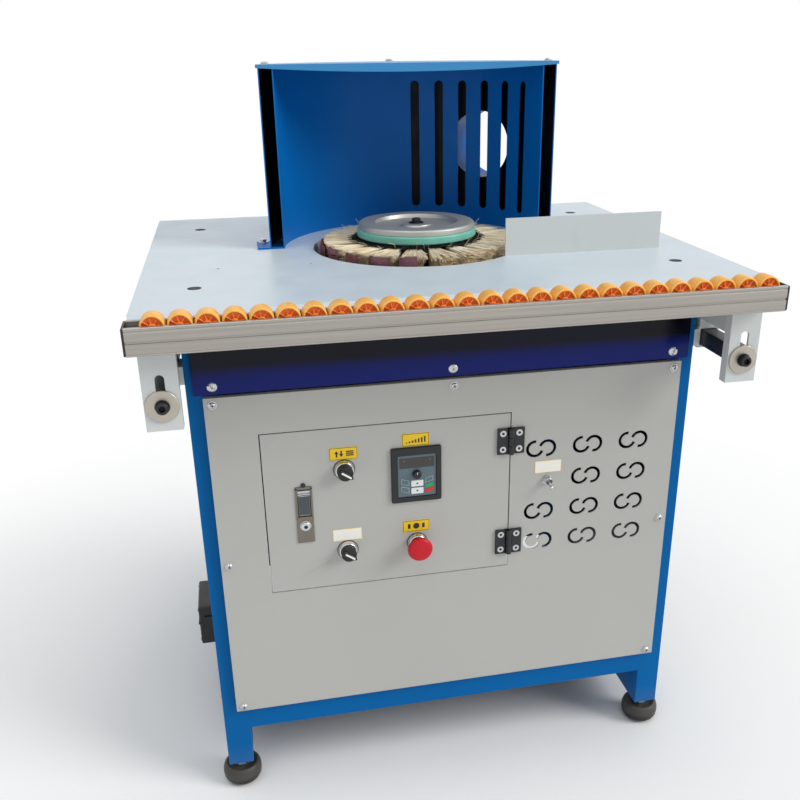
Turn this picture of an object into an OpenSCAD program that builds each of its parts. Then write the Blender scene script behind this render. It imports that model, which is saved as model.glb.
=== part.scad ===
// Edge sanding machine: a brush wheel rises through a laminated table under a
// double walled dust hood, with a roller rail in front and a cabinet below.
// Origin on the floor at the centre, X to the right, Y to the back, Z up.

/* [Table] */
// Width of the table
table_w = 860; // [840:5:900]
// Depth of the table
table_d = 695; // [680:5:740]
// Thickness of the table
table_t = 26; // [22:1:30]
// Height of the table above the floor
table_h = 836; // [832:1:860]
// Radius of the round opening for the brush
opening_r = 169; // [168:0.5:172]
// Distance from the front edge of the table to the brush axis
brush_set = 350; // [345:1:355]

/* [Roller rail] */
// Depth of the rail, front to back
rail_d = 40; // [38:1:42]
// Height of the rail
rail_h = 35; // [33:1:37]
// Diameter of one wheel
wheel_d = 30.5; // [28:0.1:31]
// Width of one wheel
wheel_w = 24; // [20:1:26]
// Distance between wheels
wheel_pitch = 32.2; // [32:0.1:32.4]

/* [Cabinet] */
// Width of the stand over its posts
frame_w = 754; // [750:1:756]
// Depth of the stand over its posts
frame_d = 540; // [520:5:560]
// Side of the square tube
tube = 40; // [38:1:40]
// Clear height under the posts
foot_h = 44; // [42:1:46]
// Diameter of a levelling foot
foot_w = 63; // [58:1:64]
// Width of the front cover
cover_w = 710; // [705:1:712]
// Height of the dark fascia over the front cover
fascia_h = 111; // [108:1:116]
// Width of the control door
door_w = 370; // [368:1:372]
// Height of the control door
door_h = 260; // [258:1:262]

/* [Brush] */
// Radius over the bristle tips
brush_r = 160; // [156:0.5:161]
// Height of the bristle pack
brush_h = 98; // [90:1:100]
// Rise of the bristle pack above the table
brush_rise = 14; // [10:1:16]
// Radius of the green pressure disc
disc_r = 97; // [95:0.5:98]
// Number of tufts round the wheel
tuft_count = 20; // [18:1:20]

/* [Hood] */
// Inner radius of the dust hood
hood_r = 215; // [214:1:218]
// Gap between the two hood walls
hood_gap = 19; // [18:1:22]
// Height of the hood above the table
hood_h = 278; // [270:1:285]
// Radius of the dust port
port_r = 57; // [52:1:60]
// Number of suction slots
slot_count = 6; // [4:1:6]

/* [Fence] */
// Length of the fence
fence_l = 255; // [250:1:260]
// Height of the fence
fence_h = 57; // [50:1:60]

/* [Hidden] */
$fn = 48;
eps = 0.01;
free_gap = 0.4;
pin_gap = 0.1;
sheet = 2;
wheel_count = 26;

// Places along the depth
rail_gap = 5;
front_y = -(rail_d + rail_gap + table_d) / 2;
table_y = front_y + rail_d + rail_gap;
back_y = table_y + table_d;
brush_y = table_y + brush_set;
post_set = 140;
post_y = front_y + post_set;
cover_d = 10;
cover_y = post_y - cover_d;
post_back_y = post_y + frame_d - tube;

// Places along the height
table_low = table_h - table_t;
low_rail_z = 114.5;
cover_lift = 3.5;
cover_z = low_rail_z + tube + cover_lift;
fascia_gap = 3;
table_gap = 4;
fascia_top = table_low - table_gap;
fascia_z = fascia_top - fascia_h;
cover_top = fascia_z - fascia_gap;
cover_h = cover_top - cover_z;
fascia_over = 12;
fascia_w = cover_w + 2 * fascia_over;
fascia_d = 5;

// Stand
tube_wall = 2.5;
post_x = frame_w / 2 - tube;
end_plate = 5;
stem_r = 6;
stem_rise = 14;
nut_h = 10;
nut_r = 11;
pad_h = foot_h - nut_h;
pad_base_r = 17;
pad_belly = 18;
pad_rim_r = 25;
pad_dish = 6.4;
pad_floor_r = 16;
pad_seat = 12;
beam_set = 175;
beam_y = brush_y + beam_set;

// Front cover
cover_lip = 12;
lip_gap = 1;
screw_hole = 2.6;
screw_in = 12;
screw_low = 9;
screw_drop = 10;
screw_mid = cover_h / 2;
screw_top = cover_h - screw_drop;
door_gap = 1.5;
door_x = -283;
door_drop = 61;
door_z = cover_top - door_drop - door_h;
door_pan = 12;
vent_r = 14.3;
vent_stroke = 4.8;
vent_apart = 19.8;
vent_open = 100;
vent_turn = 32;
vent_x = 136.9;
vent_up = 250.4;
vent_z = cover_z + vent_up;
vent_pitch_x = 74.9;
vent_pitch_z = 53.4;
toggle_x = 149;
toggle_drop = 177;
toggle_z = cover_top - toggle_drop;
toggle_r = 6;

// Hinges
leaf_w = 21;
leaf_h = 42;
leaf_t = 4;
knuckle_r = 4.5;
hinge_pin_r = 2;
hinge_x = door_x + door_w + door_gap / 2;
hinge_lift = 1;
hinge_y = cover_y - leaf_t - hinge_lift;
hinge_low_in = 44;
hinge_high_in = 44;
hinge_low = door_z + hinge_low_in;
hinge_high = door_z + door_h - hinge_high_in;
leaf_gap = 0.4;
knuckle_room = 0.5;
hinge_pin_in = 1;
knuckle_h = leaf_h / 3;

// Controls on the door
column_1 = -165.3;
column_2 = -58;
row_high_in = 65.5;
row_low_in = 60;
row_high = door_z + door_h - row_high_in;
row_low = door_z + row_low_in;
collar_r = 15;
collar_h = 8;
collar_draft = 2;
collar_bore = 10;
shank_r = 10.8;
block_w = 30;
block_h = 40;
block_d = 44;
knob_r = 11.4;
knob_base = 4;
grip_l = 26;
grip_w = 8;
grip_d = 12;
grip_turn = 35;
knob_stem = 6;
knob_stem_in = 6;
grip_shift = 1.5;
button_r = 20;
button_neck = 9;
button_stand = 16;
button_lap = 2;
button_in = 8;
keypad_w = 76;
keypad_h = 89;
keypad_up = 176;
keypad_z = door_z + keypad_up;
keypad_out = 5;
keypad_frame = 8.5;
keypad_sink = 2;
keypad_in = 26;
keypad_body_w = 66;
keypad_body_h = 78;
dial_r = 6.6;
dial_h = 7;
dial_up = 1.5;
dial_stem_r = 2.5;
dial_stem_l = 6;
dial_bore = 3;
dial_bore_l = 12;

// Door latch
latch_x = -226.5;
latch_up = 81;
latch_z = door_z + latch_up;
latch_w = 25;
latch_h = 92;
latch_out = 2;
latch_in = 13;
latch_back = 3;
lever_w = 18;
lever_low = 44;
lever_high = 82;
lever_t = 4;
lever_pin = 1.6;
lever_knuckle = 3.6;
lever_rise = 6;
lever_gap = 0.6;
lever_over = 7;
lever_end = 1;
lock_r = 7.5;
lock_z = 28;
lock_out = 4;

// Arms, guides and rail plates
arm_s = 25;
arm_wall = 2;
arm_out = 23;
arm_x = frame_w / 2 + arm_out;
arm_drop = 112;
arm_z = table_h - arm_drop;
arm_l = 555.7;
arm_tip = 0.7;
arm_front = table_y - arm_tip;
arm_back = arm_front + arm_l;
washer_gap = 0.3;
plug_l = 24;
bolt_drop = 4;
bolt_z = arm_z - bolt_drop;
bolt_r = 5;
bolt_head_r = 8;
bolt_head = 10;
washer_r = 21;
washer_t = 3;
plate_w = 46;
plate_t = 4;
plate_drop = 150;
plate_low = table_h - plate_drop;
plate_room = 6;
plate_flange = 12;
plate_flange_t = 2;
flange_drop = 41;
flange_top = table_h - flange_drop;
slot_w = 12;
slot_up = 16;
slot_run = 59;
slot_low = plate_low + slot_up;
slot_top = slot_low + slot_run;
sleeve_wall = 3.5;
sleeve_gap = 0.5;
sleeve_l = 40;
sleeve_back = -60;
channel_w = 30;
channel_wall = 2.5;
channel_drop = 83;
channel_low = table_h - channel_drop;
channel_front = -300;
channel_back = 0;
cap_t = 3;
rail_drop = 2;
rail_low = table_h - rail_drop - rail_h;
rail_end = 11.4;
rail_l = wheel_count * wheel_pitch + 2 * rail_end;
rail_top = rail_low + rail_h;
wheel_sink = 2.7;
wheel_z = rail_top - wheel_sink;
bore_gap = 0.3;
pin_r = 2;
wheel_bore = pin_r + bore_gap;
wheel_shift = 5;
trough_side = 2;
trough_gap = 1.6;
trough_w = wheel_w + 2 * trough_side;
trough_r = wheel_d / 2 + trough_gap;
groove_w = 2;
groove_d = 1.5;
groove_z = 16;
lip_d = 2.5;
lip_line = 1;
wheel_rim = 2.6;
wheel_dish = 5;
wheel_hub = 4.8;

// Hood
wall_t = 2;
hood_out = hood_r + wall_t + hood_gap;
face_set = 19;
hood_face = brush_y + face_set;
roof_t = 2;
hood_top = table_h + hood_h - roof_t;
roof_over = 3;
lip_end = 3;
lip_mid = 11;
slot_size = 15;
hood_slot_low = 29;
hood_slot_high = 246;
slot_first = 78.7;
slot_step = 11.4;
port_turn = 49;
port_up = 138;
collar_wall = 2;
port_l = 65;
port_root = 6;
port_cut = 20;
ring_w = 2.5;
ring_out = 3.5;
tab_t = 3;
tab_out = 20;
tab_d = 56;
tab_hole = 3;
top_tab = 22;
back_tab = 40;
roof_bolt_r = 5;
roof_bolt_h = 4;
tab_in = 1;
back_tab_in = 4;

// Table holes
hole_x = 352;
hole_front = 35;
hole_back = 116;
sink_r = 10;
sink_hole = 4.5;
sink_d = 5;
small_hole = 3;
pair_gap = 15.5;
pair_step = 136.5;
pair_x = [opening_r + pair_gap, opening_r + pair_gap + pair_step];
pair_set = 103;
pair_y = brush_y - pair_set;

// Fence
fence_x = 115;
fence_t = 3;
fence_set = 124;
fence_y = brush_y - fence_set;
fence_foot = 38;
fence_cut = 40;

// Brush
brush_z = table_h + brush_rise - brush_h;
brush_top = table_h + brush_rise;
core_r = 86;
backing_r = 90;
flange_r = 96;
flange_t = 12;
disc_lift = 3;
disc_z = brush_top + disc_lift;
disc_t = 12;
clamp_r = 94;
clamp_t = 10;
clamp_edge = 2;
recess_r = 67;
recess_d = 8;
hub_r = 24;
hub_h = 4;
cap_r = 6.75;
cap_h = 8;
hex_r = 3.4;
shaft_r = 14;
shaft_drop = 232;
shaft_low = table_h - shaft_drop;
shaft_room = 4;
layers = 4;
backing_in = 2;
backing_lap = 0.5;
layer_gap = 6;
teeth = 4;
tooth_root = 1.5;
tooth_tip = 4.2;
tuft_span = 9;
strip_t = 2;
strip_reach = 156;
strip_span = 6.5;
strip_fingers = 5;
slit = 1.5;
strip_gap = 0.3;
strip_root = 20;

// Motor slide
motor_r = 75;
motor_drop = 406;
motor_h = 198;
motor_low = table_h - motor_drop;
motor_top = motor_low + motor_h;
term_in = 8;
term_up = 80;
term_out = 30;
term_w = 60;
term_h = 90;
boss_r = 28;
boss_h = 20;
plate_hole = 30;
mount_t = 12;
mount_w = 170;
carriage_w = 260;
column_x = 100;
column_r = 10;
column_set = 133;
column_y = brush_y + column_set;
bearing_w = 40;
carriage_drop = 6;
carriage_low = motor_low - carriage_drop;
carriage_top = motor_top + mount_t;
base_drop = 100;
base_low = motor_low - base_drop;
base_t = 10;
end_block = 20;
base_reach = 360;
end_block_top = base_low + base_reach;
base_room = 26;
rod_r = 8;
rod_up = 36;
rod_low = base_low + rod_up;
drive_w = 60;
drive_h = 58;
gear_r = 22;
gear_l = 50;

// Side box
box_w = 40;
box_y = -10;
box_d = 94;
box_z = 133;
box_h = 79;
gland_r = 9;
gland_l = 16;
lid_t = 3;

// Toggle
bat_r = 2.2;
bat_tip = 3.2;
bat_l = 17;
bat_tilt = 26;
bush_l = 9;
bush_bore = 5;
ball_r = 3.4;
pivot_in = 4;
pivot_r = 1;
pivot_l = 9;
bush_nut_r = 8.5;
bush_nut_h = 3;
body_w = 14;
body_h = 28;
body_d = 20;

frame_nodes = ["stand_frame", "front_cover", "upper_fascia", "side_and_back_covers",
    "foot_pads", "foot_studs", "table_top", "arm_guides", "hood_walls", "hood_roof",
    "fence", "side_box", "cover_fittings", "toggle_lever"];
door_nodes = ["control_door", "hinge_door_leaves", "door_fittings", "latch_lever",
    "keypad", "keypad_dial", "upper_selector", "lower_selector", "stop_button"];
rail_nodes = ["slide_arms", "roller_rail", "hanger_plates"];
brush_nodes = ["brush_core", "brush_bristles", "abrasive_strips", "green_disc",
    "clamp_flange", "spindle_motor", "slide_carriage", "oscillation_base"];
function wheel_name(i) = str("wheel_", i < 10 ? "0" : "", i);
wheel_nodes = [for (i = [1:wheel_count]) wheel_name(i)];

// Shared shapes

// A square tube along X, Y or Z from its low corner
module tube_z(l, s, w) {
    difference() {
        cube([s, s, l]);
        translate([w, w, -eps]) cube([s - 2 * w, s - 2 * w, l + 2 * eps]);
    }
}
module tube_x(l, s, w) translate([0, s, 0]) rotate([90, 0, 90])
    mirror([1, 0, 0]) tube_z(l, s, w);
module tube_y(l, s, w) translate([0, l, 0]) rotate([90, 0, 0]) tube_z(l, s, w);

// A round bar along Y, starting at y and running back by l
module bar_y(x, y, z, r, l) translate([x, y, z]) rotate([-90, 0, 0]) cylinder(r = r, h = l);

// A box from its low corner and its size
module block(x, y, z, w, d, h) translate([x, y, z]) cube([w, d, h]);

// Both sides of the machine
module both_sides() {
    children();
    mirror([1, 0, 0]) children();
}

// Stand

module post(x, y) translate([x, y, foot_h]) difference() {
    tube_z(table_low - foot_h, tube, tube_wall);
}
module post_end(x, y) difference() {
    block(x + eps, y + eps, foot_h, tube - 2 * eps, tube - 2 * eps, end_plate);
    translate([x + tube / 2, y + tube / 2, foot_h - eps])
        cylinder(r = stem_r + pin_gap, h = end_plate + 2 * eps);
}
module stand_frame() color("#1668a8") {
    both_sides() for (y = [post_y, post_back_y]) {
        post(post_x, y);
        post_end(post_x, y);
    }
    for (y = [post_y, post_back_y]) for (z = [low_rail_z, table_low - tube])
        translate([-post_x, y, z]) tube_x(2 * post_x, tube, tube_wall);
    both_sides() for (z = [foot_h, table_low - tube])
        translate([post_x, post_y + tube, z]) tube_y(frame_d - 2 * tube, tube, tube_wall);
    translate([-post_x, beam_y, table_low - tube]) tube_x(2 * post_x, tube, tube_wall);
}

module foot_places() both_sides() for (y = [post_y, post_back_y])
    translate([post_x + tube / 2, y + tube / 2, 0]) children();
module foot_pads() color("#1b1b1c") foot_places() difference() {
    pad_r = foot_w / 2;
    rotate_extrude() polygon(concat([[0, 0], [pad_base_r, 0]],
        [for (a = [-75:15:45]) [pad_base_r + (pad_r - pad_base_r) * cos(a),
            pad_belly + pad_belly * sin(a)]],
        [[pad_rim_r + 1, pad_h], [pad_rim_r - 1, pad_h],
        [pad_floor_r, pad_h - pad_dish + 1], [nut_r + pin_gap, pad_h - pad_dish], [0, pad_h - pad_dish]]));
    translate([0, 0, pad_h - pad_dish - pad_seat]) cylinder(r = stem_r + pin_gap, h = pad_seat + eps);
}
module foot_studs() color("#b9bcc0") foot_places() {
    translate([0, 0, pad_h - pad_dish - pad_seat + pin_gap])
        cylinder(r = stem_r, h = pad_seat + pad_dish + nut_h + stem_rise);
    translate([0, 0, pad_h - pad_dish]) cylinder(r = nut_r, h = nut_h, $fn = 6);
}

// Front cover

module ring_sector_2d(r, w, gap, turn) difference() {
    circle(r = r);
    circle(r = r - w);
    rotate(turn) polygon([[0, 0], [2 * r * cos(gap / 2), 2 * r * sin(gap / 2)],
        [3 * r, 0], [2 * r * cos(gap / 2), -2 * r * sin(gap / 2)]]);
}
// One vent: two facing arcs whose bridges lie on opposite sides
module vent(x, z) translate([x, cover_y - eps, z]) rotate([-90, 0, 0])
    mirror([0, 1, 0]) linear_extrude(height = sheet + 2 * eps) {
        translate([-vent_apart / 2, 0]) ring_sector_2d(vent_r, vent_stroke, vent_open, vent_turn);
        translate([vent_apart / 2, 0]) ring_sector_2d(vent_r, vent_stroke, vent_open, vent_turn + 180);
    }
cover_screws = [[-1, screw_low], [1, screw_low], [-1, screw_mid], [1, screw_mid],
    [-1, screw_top], [0, screw_top], [1, screw_top]];
module front_cover() color("#b4b5b0") difference() {
    union() {
        block(-cover_w / 2, cover_y, cover_z, cover_w, sheet, cover_h);
        both_sides() block(cover_w / 2 - sheet, cover_y + sheet - eps, cover_z,
            sheet, cover_d - sheet, cover_h);
        block(-cover_w / 2, cover_y + sheet - eps, cover_top - sheet,
            cover_w, cover_d - sheet, sheet);
        block(-post_x + lip_gap, cover_y + sheet - eps, cover_z,
            2 * post_x - 2 * lip_gap, cover_d + cover_lip - sheet, sheet);
    }
    block(door_x - door_gap, cover_y - eps, door_z - door_gap,
        door_w + 2 * door_gap, sheet + 2 * eps, door_h + 2 * door_gap);
    for (s = cover_screws)
        bar_y(s[0] * (cover_w / 2 - screw_in), cover_y - eps, cover_z + s[1],
            screw_hole, sheet + 2 * eps);
    for (i = [0:2]) for (j = [0:3]) if (i > 0 || j != 2)
        vent(vent_x + i * vent_pitch_x, vent_z + j * vent_pitch_z);
    bar_y(toggle_x, cover_y - eps, toggle_z, toggle_r + pin_gap, sheet + 2 * eps);
}

module upper_fascia() color("#1b2a66") {
    block(-fascia_w / 2, post_y - fascia_d, fascia_z, fascia_w, sheet, fascia_top - fascia_z);
    for (z = [fascia_z, fascia_top - sheet])
        block(-fascia_w / 2, post_y - fascia_d + sheet - eps, z,
            fascia_w, fascia_d - sheet + eps, sheet);
}

module side_and_back_covers() color("#b4b5b0") {
    both_sides() block(frame_w / 2 - sheet, post_y + tube, foot_h + tube,
        sheet, frame_d - 2 * tube, table_low - foot_h - 2 * tube);
    block(-post_x, post_back_y + tube - sheet, low_rail_z + tube,
        2 * post_x, sheet, table_low - low_rail_z - 2 * tube);
}

// Table

module table_top() color("#ccd6db") difference() {
    translate([-table_w / 2, 0, 0]) rotate([90, 0, 90]) linear_extrude(height = table_w) union() {
        translate([table_y + table_t / 2, table_low]) square([table_d - table_t / 2, table_t]);
        translate([table_y + table_t / 2, table_low + table_t / 2]) circle(r = table_t / 2);
    }
    translate([0, brush_y, table_low - eps]) cylinder(r = opening_r, h = table_t + 2 * eps);
    for (x = [-hole_x, hole_x]) for (y = [post_y + hole_front, back_y - hole_back]) {
        translate([x, y, table_low - eps]) cylinder(r = sink_hole, h = table_t + 2 * eps);
        translate([x, y, table_h - sink_d])
            cylinder(r1 = sink_hole, r2 = sink_r, h = sink_d + eps);
    }
    for (x = pair_x) translate([-x, pair_y, table_low - eps])
        cylinder(r = small_hole, h = table_t + 2 * eps);
}

// Fixed guides for the arms: a folded channel under the table with two sleeves
module arm_guide() {
    in = arm_s + 2 * sleeve_gap;
    out = in + 2 * sleeve_wall;
    difference() {
        block(arm_x - channel_w / 2, channel_front, channel_low,
            channel_w, channel_back - channel_front, table_low - channel_low);
        block(arm_x - channel_w / 2 + channel_wall, channel_front - eps, channel_low - eps,
            channel_w - 2 * channel_wall, channel_back - channel_front + 2 * eps,
            table_low - channel_low - channel_wall);
    }
    for (y = [post_y, sleeve_back]) {
        translate([arm_x - out / 2, y, arm_z - out / 2]) tube_y(sleeve_l, out, sleeve_wall);
        block(arm_x - channel_w / 2, y, arm_z + out / 2 - eps,
            channel_w, sleeve_l, channel_low - arm_z - out / 2 + channel_wall);
    }
    block(frame_w / 2, post_y, arm_z - in / 2,
        arm_x - out / 2 - frame_w / 2 + eps, sleeve_l, in);
}
module arm_guides() color("#d9dcdd") both_sides() arm_guide();

// Dust hood

module half_ring(r, t, h) difference() {
    cylinder(r = r + t, h = h);
    translate([0, 0, -eps]) cylinder(r = r, h = h + 2 * eps);
    block(-2 * r, hood_face - brush_y - 2 * r, -eps, 4 * r, 2 * r, h + 2 * eps);
}
module hood_slot(i) rotate(slot_first - i * slot_step) {
    block(hood_r - wall_t, -slot_size / 2, hood_slot_low + slot_size / 2,
        3 * wall_t, slot_size, hood_slot_high - hood_slot_low - slot_size);
    for (z = [hood_slot_low + slot_size / 2, hood_slot_high - slot_size / 2])
        translate([hood_r - wall_t, 0, z]) rotate([0, 90, 0])
            cylinder(r = slot_size / 2, h = 3 * wall_t);
}
// A foot plate that joins both walls at one end of the hood
module hood_foot() {
    x = sqrt(pow(hood_r, 2) - pow(hood_face - brush_y, 2));
    difference() {
        block(x, hood_face - brush_y, 0, hood_gap + 2 * wall_t + tab_out, tab_d, tab_t);
        translate([x + hood_gap + 2 * wall_t + tab_out / 2 - tab_in,
            hood_face - brush_y + tab_d - tab_out / 2, -eps]) cylinder(r = tab_hole, h = tab_t + 2 * eps);
        translate([0, 0, -eps]) cylinder(r = hood_r, h = tab_t + 2 * eps);
    }
}
module hood_top_tab() intersection() {
    block(hood_r / 2, hood_face - brush_y, hood_h - roof_t - tab_t,
        hood_r, top_tab, tab_t);
    half_ring(hood_r + wall_t / 2, hood_gap + wall_t, hood_h - roof_t);
}
module hood_walls() color("#1668a8") translate([0, brush_y, table_h]) {
    difference() {
        half_ring(hood_r, wall_t, hood_h - roof_t);
        for (i = [0:slot_count - 1]) hood_slot(i);
    }
    difference() {
        union() {
            half_ring(hood_out, wall_t, hood_h - roof_t);
            rotate(port_turn) translate([hood_out - port_root, 0, port_up]) rotate([0, 90, 0]) {
                cylinder(r = port_r + collar_wall, h = port_l + port_root);
                cylinder(r = port_r + collar_wall + ring_w, h = port_root + ring_out);
            }
        }
        rotate(port_turn) translate([hood_out - port_cut, 0, port_up]) rotate([0, 90, 0])
            cylinder(r = port_r, h = port_l + 2 * port_cut);
        rotate(port_turn) intersection() {
            translate([0, 0, port_up]) rotate([0, 90, 0]) cylinder(r = 2 * port_r, h = hood_r + port_l);
            translate([0, 0, eps]) cylinder(r = hood_out, h = hood_h - roof_t - 2 * eps);
        }
    }
    both_sides() hood_foot();
    both_sides() hood_top_tab();
    difference() {
        block(-back_tab / 2, hood_out + wall_t / 2, 0, back_tab, back_tab / 2 + back_tab_in, tab_t);
        translate([0, hood_out + back_tab / 2, -eps]) cylinder(r = tab_hole, h = tab_t + 2 * eps);
    }
    block(-top_tab / 2, hood_r + wall_t / 2, hood_h - roof_t - tab_t,
        top_tab, hood_gap + wall_t, tab_t);
}

// Roof with a front lip whose lower edge is a shallow arc, and its three bolts
module hood_roof() color("#2b7fc0") translate([0, brush_y, hood_top]) {
    r = hood_out + wall_t + roof_over;
    half = sqrt(pow(r, 2) - pow(hood_face - brush_y, 2));
    sag = lip_mid - lip_end;
    arc_r = (pow(half, 2) + pow(sag, 2)) / (2 * sag);
    difference() {
        cylinder(r = r, h = roof_t);
        block(-2 * r, hood_face - brush_y - 2 * r, -eps, 4 * r, 2 * r, roof_t + 2 * eps);
    }
    translate([0, hood_face - brush_y + eps, 0]) rotate([90, 0, 0])
        linear_extrude(height = wall_t) intersection() {
            translate([-half, -lip_mid]) square([2 * half, lip_mid + roof_t]);
            translate([0, arc_r - lip_mid]) circle(r = arc_r, $fn = 96);
        }
    bolt_in = hood_r + wall_t + hood_gap / 2;
    for (s = [-1, 1]) translate([s * (bolt_in - tab_in), hood_face - brush_y + top_tab / 2, roof_t - eps])
        cylinder(r = roof_bolt_r, h = roof_bolt_h);
    translate([0, bolt_in, roof_t - eps]) cylinder(r = roof_bolt_r, h = roof_bolt_h);
}

// Fence: an angle bolted to the table beside the opening
module fence() color("#d3d8da") {
    block(fence_x, fence_y, table_h, fence_l, fence_t, fence_h);
    block(fence_x + fence_cut, fence_y + fence_t - eps, table_h,
        fence_l - fence_cut, fence_foot, fence_t);
    for (x = pair_x) translate([x, pair_y, table_h + fence_t - eps])
        cylinder(r = roof_bolt_r, h = roof_bolt_h);
}

module side_box() color("#202123") {
    block(-frame_w / 2 - box_w, box_y, box_z, box_w, box_d, box_h);
    block(-frame_w / 2 - box_w / 2 - box_w / 4, box_y - lid_t, box_z + box_h / 4,
        box_w / 2, lid_t + eps, box_h / 2);
    translate([-frame_w / 2 - box_w / 2, box_y + box_d / 2, box_z - gland_l])
        cylinder(r = gland_r, h = gland_l + eps);
}

// Control door with its hinges

module front_hole(x, z, r) bar_y(x, cover_y - eps, z, r, sheet + 2 * eps);
module control_door() color("#b4b5b0") difference() {
    union() {
        block(door_x, cover_y, door_z, door_w, sheet, door_h);
        difference() {
            block(door_x + door_gap, cover_y + sheet - eps, door_z + door_gap,
                door_w - 2 * door_gap, door_pan - sheet, door_h - 2 * door_gap);
            block(door_x + door_gap + sheet, cover_y + sheet - 2 * eps, door_z + door_gap + sheet,
                door_w - 2 * door_gap - 2 * sheet, door_pan, door_h - 2 * door_gap - 2 * sheet);
        }
    }
    for (z = [row_low, row_high]) front_hole(column_1, z, shank_r + pin_gap);
    front_hole(column_2, row_low, shank_r + pin_gap);
    block(column_2 - keypad_body_w / 2 - pin_gap, cover_y - eps,
        keypad_z - keypad_body_h / 2 - pin_gap, keypad_body_w + 2 * pin_gap,
        sheet + 2 * eps, keypad_body_h + 2 * pin_gap);
    block(latch_x - latch_w / 2 + sheet - pin_gap, cover_y - eps, latch_z + sheet - pin_gap,
        latch_w - 2 * sheet + 2 * pin_gap, sheet + 2 * eps, latch_h - 2 * sheet + 2 * pin_gap);
}

// Knuckle k of a hinge at height z, 0 to 2 from below
module knuckle(z, k, bore) translate([hinge_x, hinge_y, z - leaf_h / 2 + k * knuckle_h + pin_gap])
    difference() {
        cylinder(r = knuckle_r, h = knuckle_h - 2 * pin_gap);
        if (bore) translate([0, 0, -eps]) cylinder(r = hinge_pin_r + pin_gap, h = knuckle_h);
    }
module leaf(z, side, ks) difference() {
    block(hinge_x + (side > 0 ? 0 : -leaf_w), cover_y - leaf_t, z - leaf_h / 2, leaf_w, leaf_t, leaf_h);
    for (k = ks) translate([hinge_x, hinge_y, z - leaf_h / 2 + k * knuckle_h - pin_gap])
        cylinder(r = knuckle_r + knuckle_room, h = knuckle_h + 2 * pin_gap);
    block(hinge_x - leaf_gap / 2, cover_y - leaf_t - eps, z - leaf_h / 2 - eps,
        leaf_gap, leaf_t + 2 * eps, leaf_h + 2 * eps);
}
module hinge_door_leaves() color("#26272a") for (z = [hinge_low, hinge_high]) {
    difference() {
        union() {
            leaf(z, -1, [0, 2]);
            knuckle(z, 1, false);
        }
        translate([hinge_x, hinge_y, z - leaf_h / 2]) cylinder(r = hinge_pin_r + pin_gap, h = leaf_h);
    }
}
module cover_fittings() {
    color("#26272a") for (z = [hinge_low, hinge_high]) {
        leaf(z, 1, [1]);
        knuckle(z, 0, false);
        knuckle(z, 2, false);
        translate([hinge_x, hinge_y, z - leaf_h / 2 + hinge_pin_in])
            cylinder(r = hinge_pin_r, h = leaf_h - 2 * hinge_pin_in);
    }
    color("#c9ccd0") difference() {
        union() {
            bar_y(toggle_x, cover_y - bush_l, toggle_z, toggle_r, bush_l + 2 * sheet);
            translate([toggle_x, cover_y, toggle_z]) rotate([90, 0, 0])
                cylinder(r = bush_nut_r, h = bush_nut_h, $fn = 6);
            block(toggle_x - body_w / 2, cover_y + sheet, toggle_z - body_h / 2,
                body_w, body_d, body_h);
        }
        bar_y(toggle_x, cover_y - bush_l - eps, toggle_z, bush_bore,
            bush_l - pivot_in - ball_r / 2);
        bar_y(toggle_x, cover_y - bush_l, toggle_z, ball_r + pin_gap, bush_l + sheet);
        translate([toggle_x - pivot_l / 2 - pin_gap, cover_y - pivot_in, toggle_z])
            rotate([0, 90, 0]) cylinder(r = pivot_r + pin_gap, h = pivot_l + 2 * pin_gap);
    }
}
module toggle_lever() color("#d5d7da") translate([toggle_x, cover_y - pivot_in, toggle_z]) {
    sphere(r = ball_r);
    translate([-pivot_l / 2, 0, 0]) rotate([0, 90, 0]) cylinder(r = pivot_r, h = pivot_l);
    rotate([90 - -bat_tilt / 2, 0, 0]) {
        cylinder(r1 = bat_r, r2 = bat_tip, h = bat_l);
        translate([0, 0, bat_l]) sphere(r = bat_tip);
    }
}

// Fittings on the door: switch collars with their contact blocks, and the latch

module switch_body(x, z) difference() {
    union() {
        translate([x, cover_y, z]) rotate([90, 0, 0])
            cylinder(r1 = collar_r, r2 = collar_r - collar_draft, h = collar_h);
        bar_y(x, cover_y - eps, z, shank_r, sheet + 2 * eps);
        block(x - block_w / 2, cover_y + sheet, z - block_h / 2, block_w, block_d, block_h);
    }
    bar_y(x, cover_y - collar_h - eps, z, collar_bore, collar_h + block_d / 2);
}
module latch_tray() difference() {
    union() {
        block(latch_x - latch_w / 2, cover_y - latch_out, latch_z, latch_w, latch_out, latch_h);
        block(latch_x - latch_w / 2 + sheet, cover_y - eps, latch_z + sheet,
            latch_w - 2 * sheet, latch_in, latch_h - 2 * sheet);
        bar_y(latch_x, cover_y - latch_out - lock_out, latch_z + lock_z, lock_r, lock_out + eps);
    }
    block(latch_x - lever_w / 2 - lever_gap, cover_y - latch_out - eps,
        latch_z + lever_low - lever_end, lever_w + 2 * lever_gap,
        latch_out + latch_in - latch_back, lever_high - lever_low + lever_over);
}
module latch_pin() translate([latch_x - lever_w / 2 - lever_end, cover_y + lever_rise - latch_out,
    latch_z + lever_high]) rotate([0, 90, 0]) cylinder(r = lever_pin, h = lever_w + 2 * lever_end);
module door_fittings() {
    color("#c3c6ca") {
        for (z = [row_low, row_high]) switch_body(column_1, z);
        switch_body(column_2, row_low);
    }
    color("#a9abae") {
        latch_tray();
        latch_pin();
    }
}
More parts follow.
